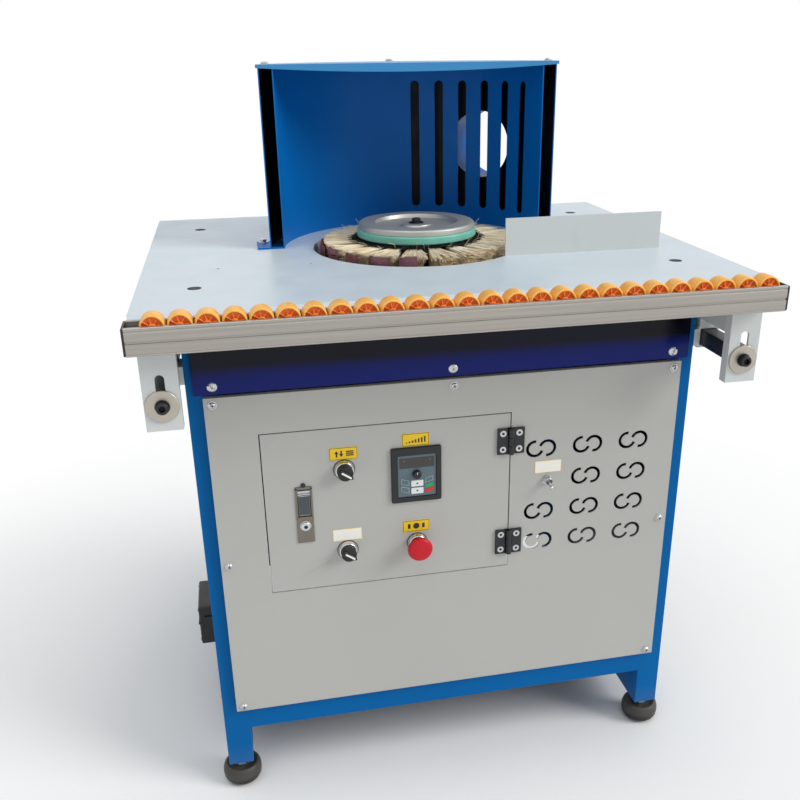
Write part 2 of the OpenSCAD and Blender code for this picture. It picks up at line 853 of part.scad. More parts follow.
module latch_lever() color("#8f9296") difference() {
    union() {
        block(latch_x - lever_w / 2, cover_y - latch_out, latch_z + lever_low,
            lever_w, lever_t, lever_high - lever_low - 2 * lever_end);
        translate([latch_x - lever_w / 2, cover_y + lever_rise - latch_out, latch_z + lever_high])
            rotate([0, 90, 0]) cylinder(r = lever_knuckle, h = lever_w);
        block(latch_x - lever_w / 2, cover_y - latch_out, latch_z + lever_high - lever_knuckle - lever_end,
            lever_w, lever_rise, lever_knuckle);
    }
    translate([latch_x - lever_w, cover_y + lever_rise - latch_out, latch_z + lever_high])
        rotate([0, 90, 0]) cylinder(r = lever_pin + pin_gap, h = 2 * lever_w);
}

module keypad() color("#232427") difference() {
    union() {
        block(column_2 - keypad_w / 2, cover_y - keypad_out, keypad_z - keypad_h / 2,
            keypad_w, keypad_out, keypad_h);
        block(column_2 - keypad_body_w / 2, cover_y - eps, keypad_z - keypad_body_h / 2,
            keypad_body_w, keypad_in, keypad_body_h);
    }
    block(column_2 - keypad_w / 2 + keypad_frame, cover_y - keypad_out - eps,
        keypad_z - keypad_h / 2 + keypad_frame, keypad_w - 2 * keypad_frame,
        keypad_sink + eps, keypad_h - 2 * keypad_frame);
    bar_y(column_2, cover_y - keypad_out, keypad_z + dial_up, dial_bore, dial_bore_l);
}
module keypad_dial() color("#2b2d31") {
    bar_y(column_2, cover_y - keypad_out + keypad_sink - dial_h - free_gap,
        keypad_z + dial_up, dial_r, dial_h);
    bar_y(column_2, cover_y - keypad_out + keypad_sink - free_gap - eps,
        keypad_z + dial_up, dial_stem_r, dial_stem_l);
}

module selector(z) color("#17181a") translate([column_1, 0, z]) {
    bar_y(0, cover_y - collar_h - knob_base - free_gap, 0, knob_r, knob_base);
    bar_y(0, cover_y - collar_h - free_gap - eps, 0, knob_stem, collar_h + knob_stem_in);
    rotate([0, grip_turn, 0])
        block(-grip_l / 2 + grip_shift, cover_y - collar_h - knob_base - grip_d - free_gap + eps,
            -grip_w / 2, grip_l, grip_d, grip_w);
}
module upper_selector() selector(row_high);
module lower_selector() selector(row_low);

module stop_button() color("#b81e2b") translate([column_2, cover_y - collar_h, row_low]) {
    bar_y(0, -button_stand + button_lap, 0, button_neck, button_stand + button_in);
    rotate([90, 0, 0]) rotate_extrude() polygon([[0, button_stand - 7], [button_neck + 3, button_stand - 7],
        [button_r - 1, button_stand - 3], [button_r, button_stand],
        [button_r - 1, button_stand + 3], [button_r * 0.6, button_stand + 5],
        [0, button_stand + 6]]);
}

// Arms and roller rail

module slide_arm() {
    translate([arm_x - arm_s / 2, arm_front, arm_z - arm_s / 2])
        tube_y(arm_back - arm_front, arm_s, arm_wall);
    block(arm_x - arm_s / 2 + arm_wall - eps, arm_front, arm_z - arm_s / 2 + arm_wall - eps,
        arm_s - 2 * arm_wall + 2 * eps, plug_l, arm_s - 2 * arm_wall + 2 * eps);
    washer_y = table_y - rail_gap - washer_t - washer_gap;
    bar_y(arm_x, washer_y, bolt_z, bolt_r, arm_front - washer_y + eps);
    bar_y(arm_x, washer_y, bolt_z, washer_r, washer_t);
    bar_y(arm_x, washer_y - bolt_head, bolt_z, bolt_head_r, bolt_head + eps);
}
module slide_arms() color("#222326") both_sides() slide_arm();

module hanger_plate() {
    y = table_y - rail_gap;
    difference() {
        block(arm_x - plate_w / 2, y, plate_low, plate_w, plate_t, rail_top - plate_low - plate_room);
        bar_y(arm_x, y - eps, slot_low + slot_w / 2, slot_w / 2, plate_t + 2 * eps);
        bar_y(arm_x, y - eps, slot_top - slot_w / 2, slot_w / 2, plate_t + 2 * eps);
        block(arm_x - slot_w / 2, y - eps, slot_low + slot_w / 2, slot_w, plate_t + 2 * eps,
            slot_top - slot_low - slot_w);
    }
    block(arm_x - plate_w / 2, y + plate_t - eps, plate_low,
        plate_flange_t, plate_flange, flange_top - plate_low);
}
module hanger_plates() color("#e3e5e4") both_sides() hanger_plate();

function wheel_x(i) = (i - (wheel_count + 1) / 2) * wheel_pitch + wheel_shift;
module roller_rail() color("#a9a7a2") {
    difference() {
        block(-rail_l / 2, front_y, rail_low, rail_l, rail_d, rail_h);
        block(-rail_l / 2 - eps, front_y + rail_d / 2 - trough_w / 2, wheel_z - trough_r,
            rail_l + 2 * eps, trough_w, rail_h);
        block(-rail_l / 2 - eps, front_y - eps, rail_low + groove_z,
            rail_l + 2 * eps, groove_d, groove_w);
        block(-rail_l / 2 - eps, front_y - eps, rail_low + rail_h - lip_d - lip_line,
            rail_l + 2 * eps, lip_line, lip_line);
    }
    both_sides() block(rail_l / 2 - eps, front_y, rail_low, cap_t, rail_d, rail_h);
    for (i = [1:wheel_count]) bar_y(wheel_x(i), front_y + rail_d / 2 - trough_w / 2 - eps,
        wheel_z, pin_r, trough_w + 2 * eps);
}
module wheel(i) color("#e8862a") translate([wheel_x(i), front_y + (rail_d - wheel_w) / 2, wheel_z])
    rotate([-90, 0, 0]) difference() {
        cylinder(r = wheel_d / 2, h = wheel_w);
        translate([0, 0, -eps]) cylinder(r = wheel_bore, h = wheel_w + 2 * eps);
        for (z = [-eps, wheel_w - wheel_dish]) translate([0, 0, z]) difference() {
            cylinder(r = wheel_d / 2 - wheel_rim, h = wheel_dish + eps);
            translate([0, 0, -eps]) cylinder(r = wheel_hub, h = wheel_dish + 3 * eps);
        }
    }

// Brush wheel

module on_axis(z) translate([0, brush_y, z]) children();
module brush_core() color("#8a8d90") on_axis(0) {
    translate([0, 0, brush_z]) cylinder(r = core_r, h = brush_top - brush_z);
    translate([0, 0, brush_z - flange_t]) cylinder(r = flange_r, h = flange_t + eps);
    translate([0, 0, brush_top - eps]) cylinder(r = core_r, h = disc_z - brush_top + eps);
    translate([0, 0, shaft_low]) cylinder(r = shaft_r, h = brush_z - shaft_low);
}
// Outline of one layer of bristles: every tuft has its own row of teeth
tuft_turn = 360 / tuft_count;
function tip_r(t, k, l) = brush_r - 5 * abs(sin(73 * t + 41 * k + 59 * l));
function skew(t, k, l) = 0.3 * sin(97 * t + 61 * k + 37 * l);
function at(r, a) = [r * cos(a), r * sin(a)];
function tooth(t, k, l) = let(
    a = t * tuft_turn + 0.5 + (k + 0.5) * tuft_span / teeth, b = a + skew(t, k, l), r = tip_r(t, k, l),
    u = tooth_root * 90 / (PI * backing_r), v = tooth_tip * 90 / (PI * brush_r))
    [at(backing_r, a - u), at(r, b - v), at(r, b + v), at(backing_r, a + u)];
module bristle_layer(l) {
    step = (brush_h - 2 * backing_in) / layers;
    translate([0, 0, brush_z + backing_in + l * step + layer_gap / 3])
        linear_extrude(height = step - layer_gap) difference() {
        polygon([for (t = [0:tuft_count - 1]) for (k = [0:teeth - 1]) for (p = tooth(t, k, l)) p]);
        circle(r = core_r + pin_gap, $fn = 60);
    }
}
module brush_bristles() color("#e3d3b2") on_axis(0) {
    for (l = [0:layers - 1]) bristle_layer(l);
    translate([0, 0, brush_z + backing_in]) linear_extrude(height = brush_h - 2 * backing_in) difference() {
        circle(r = backing_r - backing_lap, $fn = 60);
        circle(r = core_r + pin_gap, $fn = 60);
    }
}
// One slit abrasive strip: a radial sheet with its outer end bent along the rim
module abrasive_strip() {
    difference() {
        translate([0, 0, brush_z + 2 * backing_in])
            linear_extrude(height = brush_h - 4 * backing_in) union() {
            translate([backing_r + strip_gap, -strip_t / 2])
                square([strip_reach - backing_r - strip_t / 2, strip_t]);
            intersection() {
                difference() {
                    circle(r = strip_reach);
                    circle(r = strip_reach - strip_t);
                }
                polygon([[0, 0], [2 * strip_reach, strip_t / 2],
                    [2 * strip_reach * cos(strip_span), -2 * strip_reach * sin(strip_span)]]);
            }
        }
        for (i = [1:strip_fingers - 1])
            block(backing_r + strip_root, -strip_reach / 2, brush_z + i * brush_h / strip_fingers,
                strip_reach, strip_reach, slit);
    }
}
module abrasive_strips() color("#5d3238") on_axis(0)
    for (t = [0:tuft_count - 1]) rotate(t * tuft_turn - 1.2) abrasive_strip();
module green_disc() color("#6fb9a4") on_axis(disc_z) cylinder(r = disc_r, h = disc_t);
module clamp_flange() color("#9b9da0") on_axis(disc_z + disc_t) {
    difference() {
        union() {
            cylinder(r = clamp_r, h = clamp_t - clamp_edge);
            translate([0, 0, clamp_t - clamp_edge])
                cylinder(r1 = clamp_r, r2 = clamp_r - clamp_edge, h = clamp_edge);
        }
        translate([0, 0, clamp_t - recess_d]) cylinder(r = recess_r, h = recess_d + eps);
    }
    translate([0, 0, clamp_t - recess_d - eps]) cylinder(r = hub_r, h = hub_h);
    translate([0, 0, clamp_t - recess_d + hub_h - 2 * eps]) difference() {
        cylinder(r = cap_r, h = cap_h);
        translate([0, 0, cap_h / 2]) cylinder(r = hex_r, h = cap_h, $fn = 6);
    }
}

// Motor on its vertical slide

module spindle_motor() color("#3f6f8f") on_axis(motor_low) difference() {
    union() {
        cylinder(r = motor_r, h = motor_top - motor_low);
        translate([0, 0, motor_top - motor_low - eps]) cylinder(r = boss_r, h = boss_h);
        block(motor_r - term_in, -term_w / 2, term_up, term_out, term_w, term_h);
    }
    translate([0, 0, shaft_low - motor_low - shaft_room])
        cylinder(r = shaft_r + pin_gap, h = motor_h + boss_h);
}
module slide_carriage() color("#6f7478") difference() {
    union() {
        block(-mount_w / 2, brush_y - mount_w / 2, motor_top, mount_w,
            mount_w / 2 + column_y - bearing_w / 2 - brush_y, mount_t);
        block(-carriage_w / 2, column_y - bearing_w / 2 - mount_t, carriage_low,
            carriage_w, mount_t, carriage_top - carriage_low);
        both_sides() block(column_x - bearing_w / 2, column_y - bearing_w / 2 - eps, carriage_low,
            bearing_w, bearing_w, carriage_top - carriage_low - mount_t);
        block(-bearing_w / 2, column_y - bearing_w / 2 - eps, carriage_low,
            bearing_w, bearing_w, bearing_w);
        translate([0, column_y, rod_low]) cylinder(r = rod_r, h = carriage_low - rod_low + eps);
    }
    for (x = [-column_x, column_x]) translate([x, column_y, carriage_low - eps])
        cylinder(r = column_r + pin_gap, h = carriage_top);
    on_axis(motor_top - eps) cylinder(r = plate_hole, h = mount_t + 2 * eps);
}
module oscillation_base() color("#8d9092") {
    base_y = beam_y - base_t;
    block(-carriage_w / 2, base_y, base_low, carriage_w, base_t, table_low - base_low - base_room);
    for (z = [base_low, end_block_top]) block(-carriage_w / 2, column_y - bearing_w / 2, z,
        carriage_w, base_y - column_y + bearing_w / 2 + eps, end_block);
    for (x = [-column_x, column_x]) translate([x, column_y, base_low + end_block - eps])
        cylinder(r = column_r, h = end_block_top - base_low - end_block + 2 * eps);
    difference() {
        union() {
            block(-drive_w / 2, column_y - drive_w / 2, base_low + end_block - eps,
                drive_w, drive_w / 2 + base_y - column_y + eps, drive_h);
            translate([0, column_y - drive_w / 2 - gear_l, base_low + end_block + drive_h / 2])
                rotate([-90, 0, 0]) cylinder(r = gear_r, h = gear_l + eps);
        }
        translate([0, column_y, base_low + end_block])
            cylinder(r = rod_r + pin_gap, h = drive_h + end_block);
    }
}

// Drawn pieces

stand_frame();
front_cover();
upper_fascia();
side_and_back_covers();
foot_pads();
foot_studs();
table_top();
arm_guides();
hood_walls();
hood_roof();
fence();
side_box();
cover_fittings();
toggle_lever();
control_door();
hinge_door_leaves();
door_fittings();
latch_lever();
keypad();
keypad_dial();
upper_selector();
lower_selector();
stop_button();
slide_arms();
roller_rail();
hanger_plates();
brush_core();
brush_bristles();
abrasive_strips();
green_disc();
clamp_flange();
spindle_motor();
slide_carriage();
oscillation_base();
for (i = [1:wheel_count]) wheel(i);
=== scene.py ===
"""Looks of an edge sanding machine: finishes, tufts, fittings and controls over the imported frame."""

import math
import random

import bmesh
import bpy
from mathutils import Matrix, Vector


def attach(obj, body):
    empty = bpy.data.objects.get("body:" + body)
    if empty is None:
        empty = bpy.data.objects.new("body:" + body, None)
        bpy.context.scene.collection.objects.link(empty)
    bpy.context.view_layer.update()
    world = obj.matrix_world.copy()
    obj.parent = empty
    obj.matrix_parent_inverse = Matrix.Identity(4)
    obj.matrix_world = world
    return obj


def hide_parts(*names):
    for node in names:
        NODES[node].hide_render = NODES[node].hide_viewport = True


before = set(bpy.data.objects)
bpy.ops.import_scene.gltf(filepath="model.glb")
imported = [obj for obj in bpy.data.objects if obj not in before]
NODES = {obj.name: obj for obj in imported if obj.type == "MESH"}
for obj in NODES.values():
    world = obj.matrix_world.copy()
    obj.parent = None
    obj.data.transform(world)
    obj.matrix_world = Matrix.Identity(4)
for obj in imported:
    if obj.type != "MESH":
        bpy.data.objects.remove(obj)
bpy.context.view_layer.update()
MM = 0.001
SCENE = bpy.context.scene

# Shared places in millimetres: X to the right, Y to the back, Z up
BRUSH_Y = 25.0
FRONT = -240.0
SELECTOR_X, UPPER_Z, LOWER_Z = -165.3, 565.5, 431.0
CONTROL_X = -58.0
LATCH_X, LATCH_Y, LATCH_Z = -226.5, -236.0, 534.0
TOGGLE_X, TOGGLE_Y, TOGGLE_Z = 149.0, -244.0, 515.0
HINGE_ROWS = (415.0, 587.0)
WHEELS, WHEEL_PITCH, WHEEL_SHIFT, WHEEL_Y, WHEEL_Z = 26, 32.2, 5.0, -350.0, 831.3
ARM_X = 400.0


# Camera

def link_new(name, data):
    """A new object with this data, linked to the scene."""
    o = bpy.data.objects.new(name, data)
    SCENE.collection.objects.link(o)
    return o


def make_camera():
    """The photograph's camera: focal length in pixels of the 800 pixel frame, turns in radians."""
    frame_px, sensor = 800, 36
    f, yaw, pitch, roll = 905.899, 0.2022196, 0.3924415, -0.0109945
    fw = Vector((math.sin(yaw) * math.cos(pitch), math.cos(yaw) * math.cos(pitch), -math.sin(pitch)))
    rt = Vector((math.cos(yaw), -math.sin(yaw), 0))
    up = rt.cross(fw)
    x = rt * math.cos(roll) + up * math.sin(roll)
    y = up * math.cos(roll) - rt * math.sin(roll)
    cam = bpy.data.cameras.new("camera")
    cam.sensor_width = sensor
    cam.lens = f / frame_px * sensor
    cam.shift_x = -0.02951
    cam.shift_y = 0.03149
    cam.clip_end = 60
    m = Matrix((x, y, -fw)).transposed().to_4x4()
    m.translation = Vector((-0.29188, -1.44035, 1.13134))
    ob = link_new("camera", cam)
    ob.matrix_world = m
    SCENE.camera = ob


make_camera()
SCENE.view_settings.view_transform = "Standard"


# Node helpers

def rgb(r, g, b):
    """Linear colour from 0 to 255 screen values."""
    out = []
    for v in (r, g, b):
        v /= 255
        out.append(v / 12.92 if v <= 0.04045 else ((v + 0.055) / 1.055) ** 2.4)
    return (*out, 1.0)


def shade(c, k):
    return tuple(min(1.0, v * k) for v in c[:3]) + (1.0,)


class Tree:
    """Short calls for the nodes of one material, or of the world."""

    def __init__(self, name, world=False):
        self.data = (bpy.data.worlds if world else bpy.data.materials).new(name)
        self.data.use_nodes = True
        self.nt = self.data.node_tree
        self.nt.nodes.clear()
        self.out = self.new("ShaderNodeOutputWorld" if world else "ShaderNodeOutputMaterial")
        self.co = self.new("ShaderNodeTexCoord")

    def new(self, kind, **sockets):
        n = self.nt.nodes.new(kind)
        for k, v in sockets.items():
            n.inputs[k.replace("_", " ")].default_value = v
        return n

    def link(self, a, b):
        self.nt.links.new(a, b)

    def noise(self, scale, detail, stretch=(1, 1, 1), rough=0.5):
        place = self.new("ShaderNodeMapping", Scale=stretch)
        self.link(self.co.outputs["Object"], place.inputs["Vector"])
        n = self.new("ShaderNodeTexNoise", Scale=scale, Detail=detail, Roughness=rough)
        self.link(place.outputs[0], n.inputs["Vector"])
        return n.outputs["Fac"]

    def span(self, value, a, b, c, d):
        """Maps a to c and b to d, and holds the ends."""
        n = self.new("ShaderNodeMapRange")
        for k, v in (("From Min", a), ("From Max", b), ("To Min", c), ("To Max", d)):
            n.inputs[k].default_value = v
        self.link(value, n.inputs["Value"])
        return n.outputs[0]

    def ramp(self, value, stops):
        n = self.new("ShaderNodeValToRGB")
        e = n.color_ramp.elements
        while len(e) < len(stops):
            e.new(0.5)
        for k, (p, c) in enumerate(stops):
            e[k].position = p
            e[k].color = c
        self.link(value, n.inputs["Fac"])
        return n.outputs["Color"]

    def blend(self, fac, a, b):
        n = self.new("ShaderNodeMix")
        n.data_type = "RGBA"
        for sock, v in ((n.inputs[0], fac), (n.inputs[6], a), (n.inputs[7], b)):
            if hasattr(v, "is_linked") or hasattr(v, "links"):
                self.link(v, sock)
            else:
                sock.default_value = v
        return n.outputs[2]

    def math(self, op, a, b=0.0, clamp=False):
        n = self.new("ShaderNodeMath")
        n.operation = op
        n.use_clamp = clamp
        for k, v in ((0, a), (1, b)):
            if isinstance(v, (int, float)):
                n.inputs[k].default_value = v
            else:
                self.link(v, n.inputs[k])
        return n.outputs[0]

    def hypot(self, a, b):
        squares = self.math("ADD", self.math("MULTIPLY", a, a), self.math("MULTIPLY", b, b))
        return self.math("SQRT", squares)

    def bump(self, height, strength, distance):
        n = self.new("ShaderNodeBump", Strength=strength, Distance=distance)
        self.link(height, n.inputs["Height"])
        return n.outputs[0]

    def xyz(self):
        n = self.new("ShaderNodeSeparateXYZ")
        self.link(self.co.outputs["Object"], n.inputs[0])
        return n.outputs

    def radius(self, axis_y=BRUSH_Y * MM):
        """Distance in metres from an upright axis at X 0."""
        x, y, _ = self.xyz()
        return self.hypot(x, self.math("SUBTRACT", y, axis_y))

    def seen(self):
        """1 for rays of the eye, and for those that it sees in a reflection or through something clear."""
        ray = self.new("ShaderNodeLightPath").outputs
        eye = self.math("ADD", ray["Is Camera Ray"], ray["Is Glossy Ray"])
        return self.math("ADD", eye, ray["Is Transmission Ray"], True)

    def mixed(self, fac, a, b):
        """Ends the tree with shader a where fac is 0 and b where it is 1."""
        m = self.new("ShaderNodeMixShader")
        for k, v in enumerate((fac, a.outputs[0], b.outputs[0])):
            self.link(v, m.inputs[k])
        self.link(m.outputs[0], self.out.inputs["Surface"])

    def shader(self, color, rough, normal, metal=0.0, **more):
        p = self.new("ShaderNodeBsdfPrincipled")
        for sock, v in (("Base Color", color), ("Roughness", rough), ("Metallic", metal)):
            if isinstance(v, (int, float, tuple)):
                p.inputs[sock].default_value = v
            else:
                self.link(v, p.inputs[sock])
        self.link(normal, p.inputs["Normal"])
        for k, v in more.items():
            p.inputs[k.replace("_", " ")].default_value = v
        self.link(p.outputs[0], self.out.inputs["Surface"])
        return self.data


def painted(name, c, rough, tone, peel, peel_scale, scuff=0.0, scuff_c=None, coat=0.0, low=None, spec=0.5,
            dark=None):
    """Sprayed or moulded surface: soft tones, fine orange peel and faint scuffs.

    Dust lies below the height low, and dark is a function that marks where painted shade, near black, stands in
    for places that no light reaches.
    """
    t = Tree(name)
    base = t.ramp(t.noise(3.2, 4), [(0.3, shade(c, 1 - tone)), (0.7, shade(c, 1 + tone))])
    if scuff:
        streak = t.noise(26, 6, (1, 1, 0.35), 0.68)
        mask = t.span(streak, 0.60, 0.74, 0.0, scuff)
        base = t.blend(mask, base, scuff_c or shade(c, 1.5))
    if low:
        z = t.xyz()[2]
        dust = t.math("MULTIPLY", t.span(z, low, 0.02, 0.0, 0.35), t.noise(14, 5))
        base = t.blend(dust, base, rgb(150, 143, 132))
    # Painted shade: near black wherever the mask dark marks it
    if dark:
        base = t.blend(dark(t), base, rgb(12, 16, 24))
    r = t.span(t.noise(38, 5), 0.3, 0.7, max(0.03, rough - 0.06), min(1.0, rough + 0.07))
    n = t.bump(t.noise(peel_scale, 2), peel, 0.0006)
    return t.shader(base, r, n, Coat_Weight=coat, Coat_Roughness=0.12, Specular_IOR_Level=spec)


def metal(name, c, rough, tone, grain, grain_scale, depth, stain):
    """Bare or plated metal with grain along one way and faint stains."""
    t = Tree(name)
    fine = t.noise(grain_scale, 4, grain, 0.6)
    base = t.ramp(fine, [(0.3, shade(c, 1 - tone)), (0.7, shade(c, 1 + tone))])
    blot = t.span(t.noise(22, 5), 0.5, 0.75, 0.0, stain)
    base = t.blend(blot, base, shade(c, 0.62))
    r = t.span(fine, 0.25, 0.75, max(0.05, rough - 0.08), rough + 0.1)
    n = t.bump(fine, depth, 0.0004)
    return t.shader(base, r, n, metal=1.0)


def shade_between_walls(t):
    """Mask of painted shade: 1 inside the double wall of the hood, where near black stands for the shadow in the
    gap, 0 on the faces that look out.
    """
    rad, z = t.radius(), t.xyz()[2]
    gap = t.math("MULTIPLY", t.span(rad, 0.2164, 0.2168, 0.0, 1.0), t.span(rad, 0.2364, 0.2362, 0.0, 1.0))
    return t.math("MULTIPLY", gap, t.span(z, 0.8388, 0.8392, 0.0, 1.0))


def shade_inside_cabinet(t):
    """Mask of painted shade: 1 on the inner faces of the side and back covers, where near black stands for the
    shade inside the cabinet, 0 on the faces that look out.
    """
    x, y, _ = t.xyz()
    wide = t.span(t.math("ABSOLUTE", x), 0.3762, 0.3758, 0.0, 1.0)
    return t.math("MULTIPLY", wide, t.span(y, 0.3092, 0.3088, 0.0, 1.0))


COVER_GREY, COVER_SCUFF = rgb(179, 178, 173), rgb(150, 150, 146)
BLUE = painted("blue_paint", rgb(0, 96, 162), 0.42, 0.06, 0.12, 300, 0.08, rgb(20, 112, 172), low=0.08, spec=0.08)
GREY = painted("grey_paint", COVER_GREY, 0.42, 0.025, 0.22, 620, 0.05, COVER_SCUFF, low=0.12)
# Painted shade: the inner faces of the side and back covers turn near black
COVER = painted("cover_paint", COVER_GREY, 0.42, 0.025, 0.22, 620, 0.05, COVER_SCUFF, low=0.12,
                dark=shade_inside_cabinet)
WHITE = painted("white_paint", rgb(205, 209, 208), 0.38, 0.04, 0.12, 300, 0.18, rgb(176, 174, 166))
BLACK = painted("black_moulding", rgb(23, 24, 27), 0.42, 0.12, 0.2, 900, 0.1, rgb(62, 63, 66))
SOFT = painted("black_rubber", rgb(20, 20, 22), 0.5, 0.1, 0.3, 500, 0.12, rgb(52, 51, 50), low=0.012, spec=0.35)
ARM = painted("black_arm", rgb(24, 26, 32), 0.4, 0.1, 0.12, 260, 0.15, rgb(58, 60, 64), coat=0.1)
RED = painted("red_cap", rgb(198, 8, 32), 0.34, 0.05, 0.05, 700, spec=0.35)
ZINC = metal("zinc", rgb(196, 198, 202), 0.24, 0.06, (1, 1, 1), 140, 0.05, 0.2)
CHROME = metal("chrome", rgb(205, 207, 208), 0.16, 0.03, (1, 1, 1), 120, 0.02, 0.1)
TRAY = metal("latch_steel", rgb(126, 120, 112), 0.34, 0.06, (1, 1, 6), 140, 0.05, 0.3)
WASHER = metal("washer_steel", rgb(186, 180, 168), 0.42, 0.06, (1, 1, 1), 90, 0.06, 0.25)
OXIDE = metal("black_oxide", rgb(62, 63, 66), 0.36, 0.15, (1, 1, 1), 120, 0.08, 0.2)
DARKSTEEL = metal("plate_steel", rgb(128, 130, 132), 0.42, 0.08, (1, 6, 1), 160, 0.1, 0.3)
CASTING = painted("motor_paint", rgb(64, 112, 140), 0.5, 0.1, 0.5, 180, 0.2)
YELLOW = painted("label_yellow", rgb(236, 196, 22), 0.4, 0.04, 0.03, 200)
INK = painted("label_ink", rgb(46, 40, 30), 0.5, 0.05, 0.03, 200)
BLANK = painted("label_blank", rgb(240, 238, 228), 0.45, 0.02, 0.03, 200)
# Painted shade: near black for sunk crosses, socket bottoms, screw holes, the key slot and the gap under the green
# disc
SHADE_BLACK = painted("dark_gap", rgb(14, 14, 16), 0.8, 0.1, 0.1, 300)
# Painted reflection: a darker, bluer copy of the latch steel for the paddle's face
LATCH_REFLECTION_GREY = metal("latch_paddle_face", rgb(84, 92, 98), 0.3, 0.1, (1, 1, 8), 120, 0.05, 0.3)
FACEPLATE = painted("keypad_face", rgb(88, 108, 116), 0.38, 0.05, 0.08, 500)
KEYLINE = painted("key_outline", rgb(150, 166, 172), 0.45, 0.04, 0.05, 500)
WINDOW = painted("display_window", rgb(34, 26, 26), 0.12, 0.1, 0.01, 300, coat=0.6)
KEYWHITE = painted("key_white", rgb(226, 229, 228), 0.42, 0.03, 0.08, 500)
KEYGREEN = painted("key_green", rgb(30, 160, 92), 0.4, 0.05, 0.08, 500)
KEYRED = painted("key_red", rgb(206, 40, 46), 0.4, 0.05, 0.08, 500)
SEGMENT = painted("display_segments", rgb(74, 40, 38), 0.3, 0.05, 0.0, 300)


def fascia_finish():
    """Deep navy lacquer with painted shadow of the table's overhang: it turns nearly black towards the table."""
    t = Tree("navy_lacquer")
    z = t.xyz()[2]
    c = rgb(6, 28, 122)
    # Painted shadow: the ramp turns the navy nearly black towards the table's overhang
    foot, head = 0.695, 0.806
    base = t.ramp(t.span(z, foot, head, 0.0, 1.0),
                  [(0.0, shade(c, 0.9)), (0.22, shade(c, 0.7)), (0.36, rgb(11, 11, 22)), (1.0, rgb(8, 8, 12))])
    base = t.blend(t.span(t.noise(4, 4), 0.35, 0.65, 0.0, 0.06), base, shade(c, 1.1))
    r = t.span(t.noise(30, 4), 0.3, 0.7, 0.12, 0.24)
    return t.shader(base, r, t.bump(t.noise(260, 2), 0.05, 0.0004), Specular_IOR_Level=0.18)


def table_finish():
    """Pale blue grey laminate with a fine pebble, faint smears and dust."""
    t = Tree("laminate")
    c = rgb(203, 214, 220)
    base = t.ramp(t.noise(2.4, 5), [(0.3, shade(c, 0.965)), (0.7, shade(c, 1.03))])
    smear = t.span(t.noise(9, 6, (1, 2.6, 1), 0.7), 0.56, 0.78, 0.0, 0.28)
    base = t.blend(smear, base, rgb(188, 200, 207))
    fleck = t.span(t.noise(900, 2), 0.60, 0.72, 0.0, 0.25)
    base = t.blend(fleck, base, rgb(176, 188, 196))
    x, y, z = t.xyz()
    under = t.span(z, 0.8115, 0.8105, 0.0, 0.7)
    base = t.blend(under, base, rgb(150, 140, 124))
    # Painted shade: the four corner holes are near black inside
    off = t.math("SUBTRACT", t.math("ABSOLUTE", x), 0.352)
    for hole_y in (-0.195, 0.254):
        near = t.hypot(off, t.math("SUBTRACT", y, hole_y))
        base = t.blend(t.span(near, 0.0101, 0.0096, 0.0, 0.96), base, rgb(34, 32, 34))
    r = t.span(t.noise(20, 5), 0.3, 0.7, 0.3, 0.44)
    return t.shader(base, r, t.bump(t.noise(700, 3), 0.12, 0.0004))


def extruded_finish():
    """Satin anodised aluminium with die lines along X."""
    t = Tree("satin_aluminium")
    c = rgb(169, 165, 158)
    lines = t.noise(420, 4, (0.012, 1, 1), 0.6)
    base = t.ramp(lines, [(0.3, shade(c, 0.9)), (0.7, shade(c, 1.07))])
    base = t.blend(t.span(t.noise(5, 4), 0.45, 0.75, 0.0, 0.22), base, rgb(176, 160, 142))
    r = t.span(lines, 0.3, 0.7, 0.36, 0.52)
    return t.shader(base, r, t.bump(lines, 0.12, 0.0004), metal=0.75)


def turned_finish(name, c, rough):
    """Steel faced on a lathe: fine rings about the brush axis."""
    t = Tree(name)
    rad = t.radius()
    rings_per_metre = 900.0
    wave = t.math("SINE", t.math("MULTIPLY", rad, rings_per_metre * 6.2832))
    rag = t.math("MULTIPLY", wave, t.span(t.noise(30, 3), 0.3, 0.7, 0.3, 1.0))
    spread = t.new("ShaderNodeTexNoise", Scale=1.0, Detail=5.0)
    spread.noise_dimensions = "1D"
    t.link(t.math("MULTIPLY", rad, 700.0), spread.inputs["W"])
    base = t.ramp(spread.outputs["Fac"], [(0.3, shade(c, 0.86)), (0.7, shade(c, 1.08))])
    base = t.blend(t.span(t.noise(26, 5), 0.55, 0.8, 0.0, 0.35), base, rgb(150, 142, 128))
    rr = t.span(spread.outputs["Fac"], 0.3, 0.7, rough - 0.06, rough + 0.08)
    return t.shader(base, rr, t.bump(rag, 0.12, 0.0003), metal=0.7)


def bristle_finish():
    """Natural fibre: each strand has its own tone, browner towards worn tips."""
    t = Tree("bristle_fibre")
    g = t.new("ShaderNodeNewGeometry")
    one = g.outputs["Random Per Island"]
    base = t.ramp(one, [(0.0, rgb(206, 176, 128)), (0.15, rgb(232, 210, 168)), (0.45, rgb(244, 230, 198)),
                        (0.8, rgb(250, 242, 220)), (1.0, rgb(253, 249, 236))])
    rad = t.radius()
    tip = t.math("MULTIPLY", t.span(rad, 0.147, 0.16, 0.0, 1.0), t.span(t.noise(55, 4), 0.48, 0.66, 0.0, 0.6))
    base = t.blend(tip, base, rgb(186, 142, 82))
    root = t.span(rad, 0.094, 0.108, 0.7, 0.0)
    base = t.blend(root, base, rgb(120, 96, 66))
    return t.shader(base, 0.62, t.bump(t.noise(1500, 2), 0.2, 0.0002), Sheen_Weight=0.15)


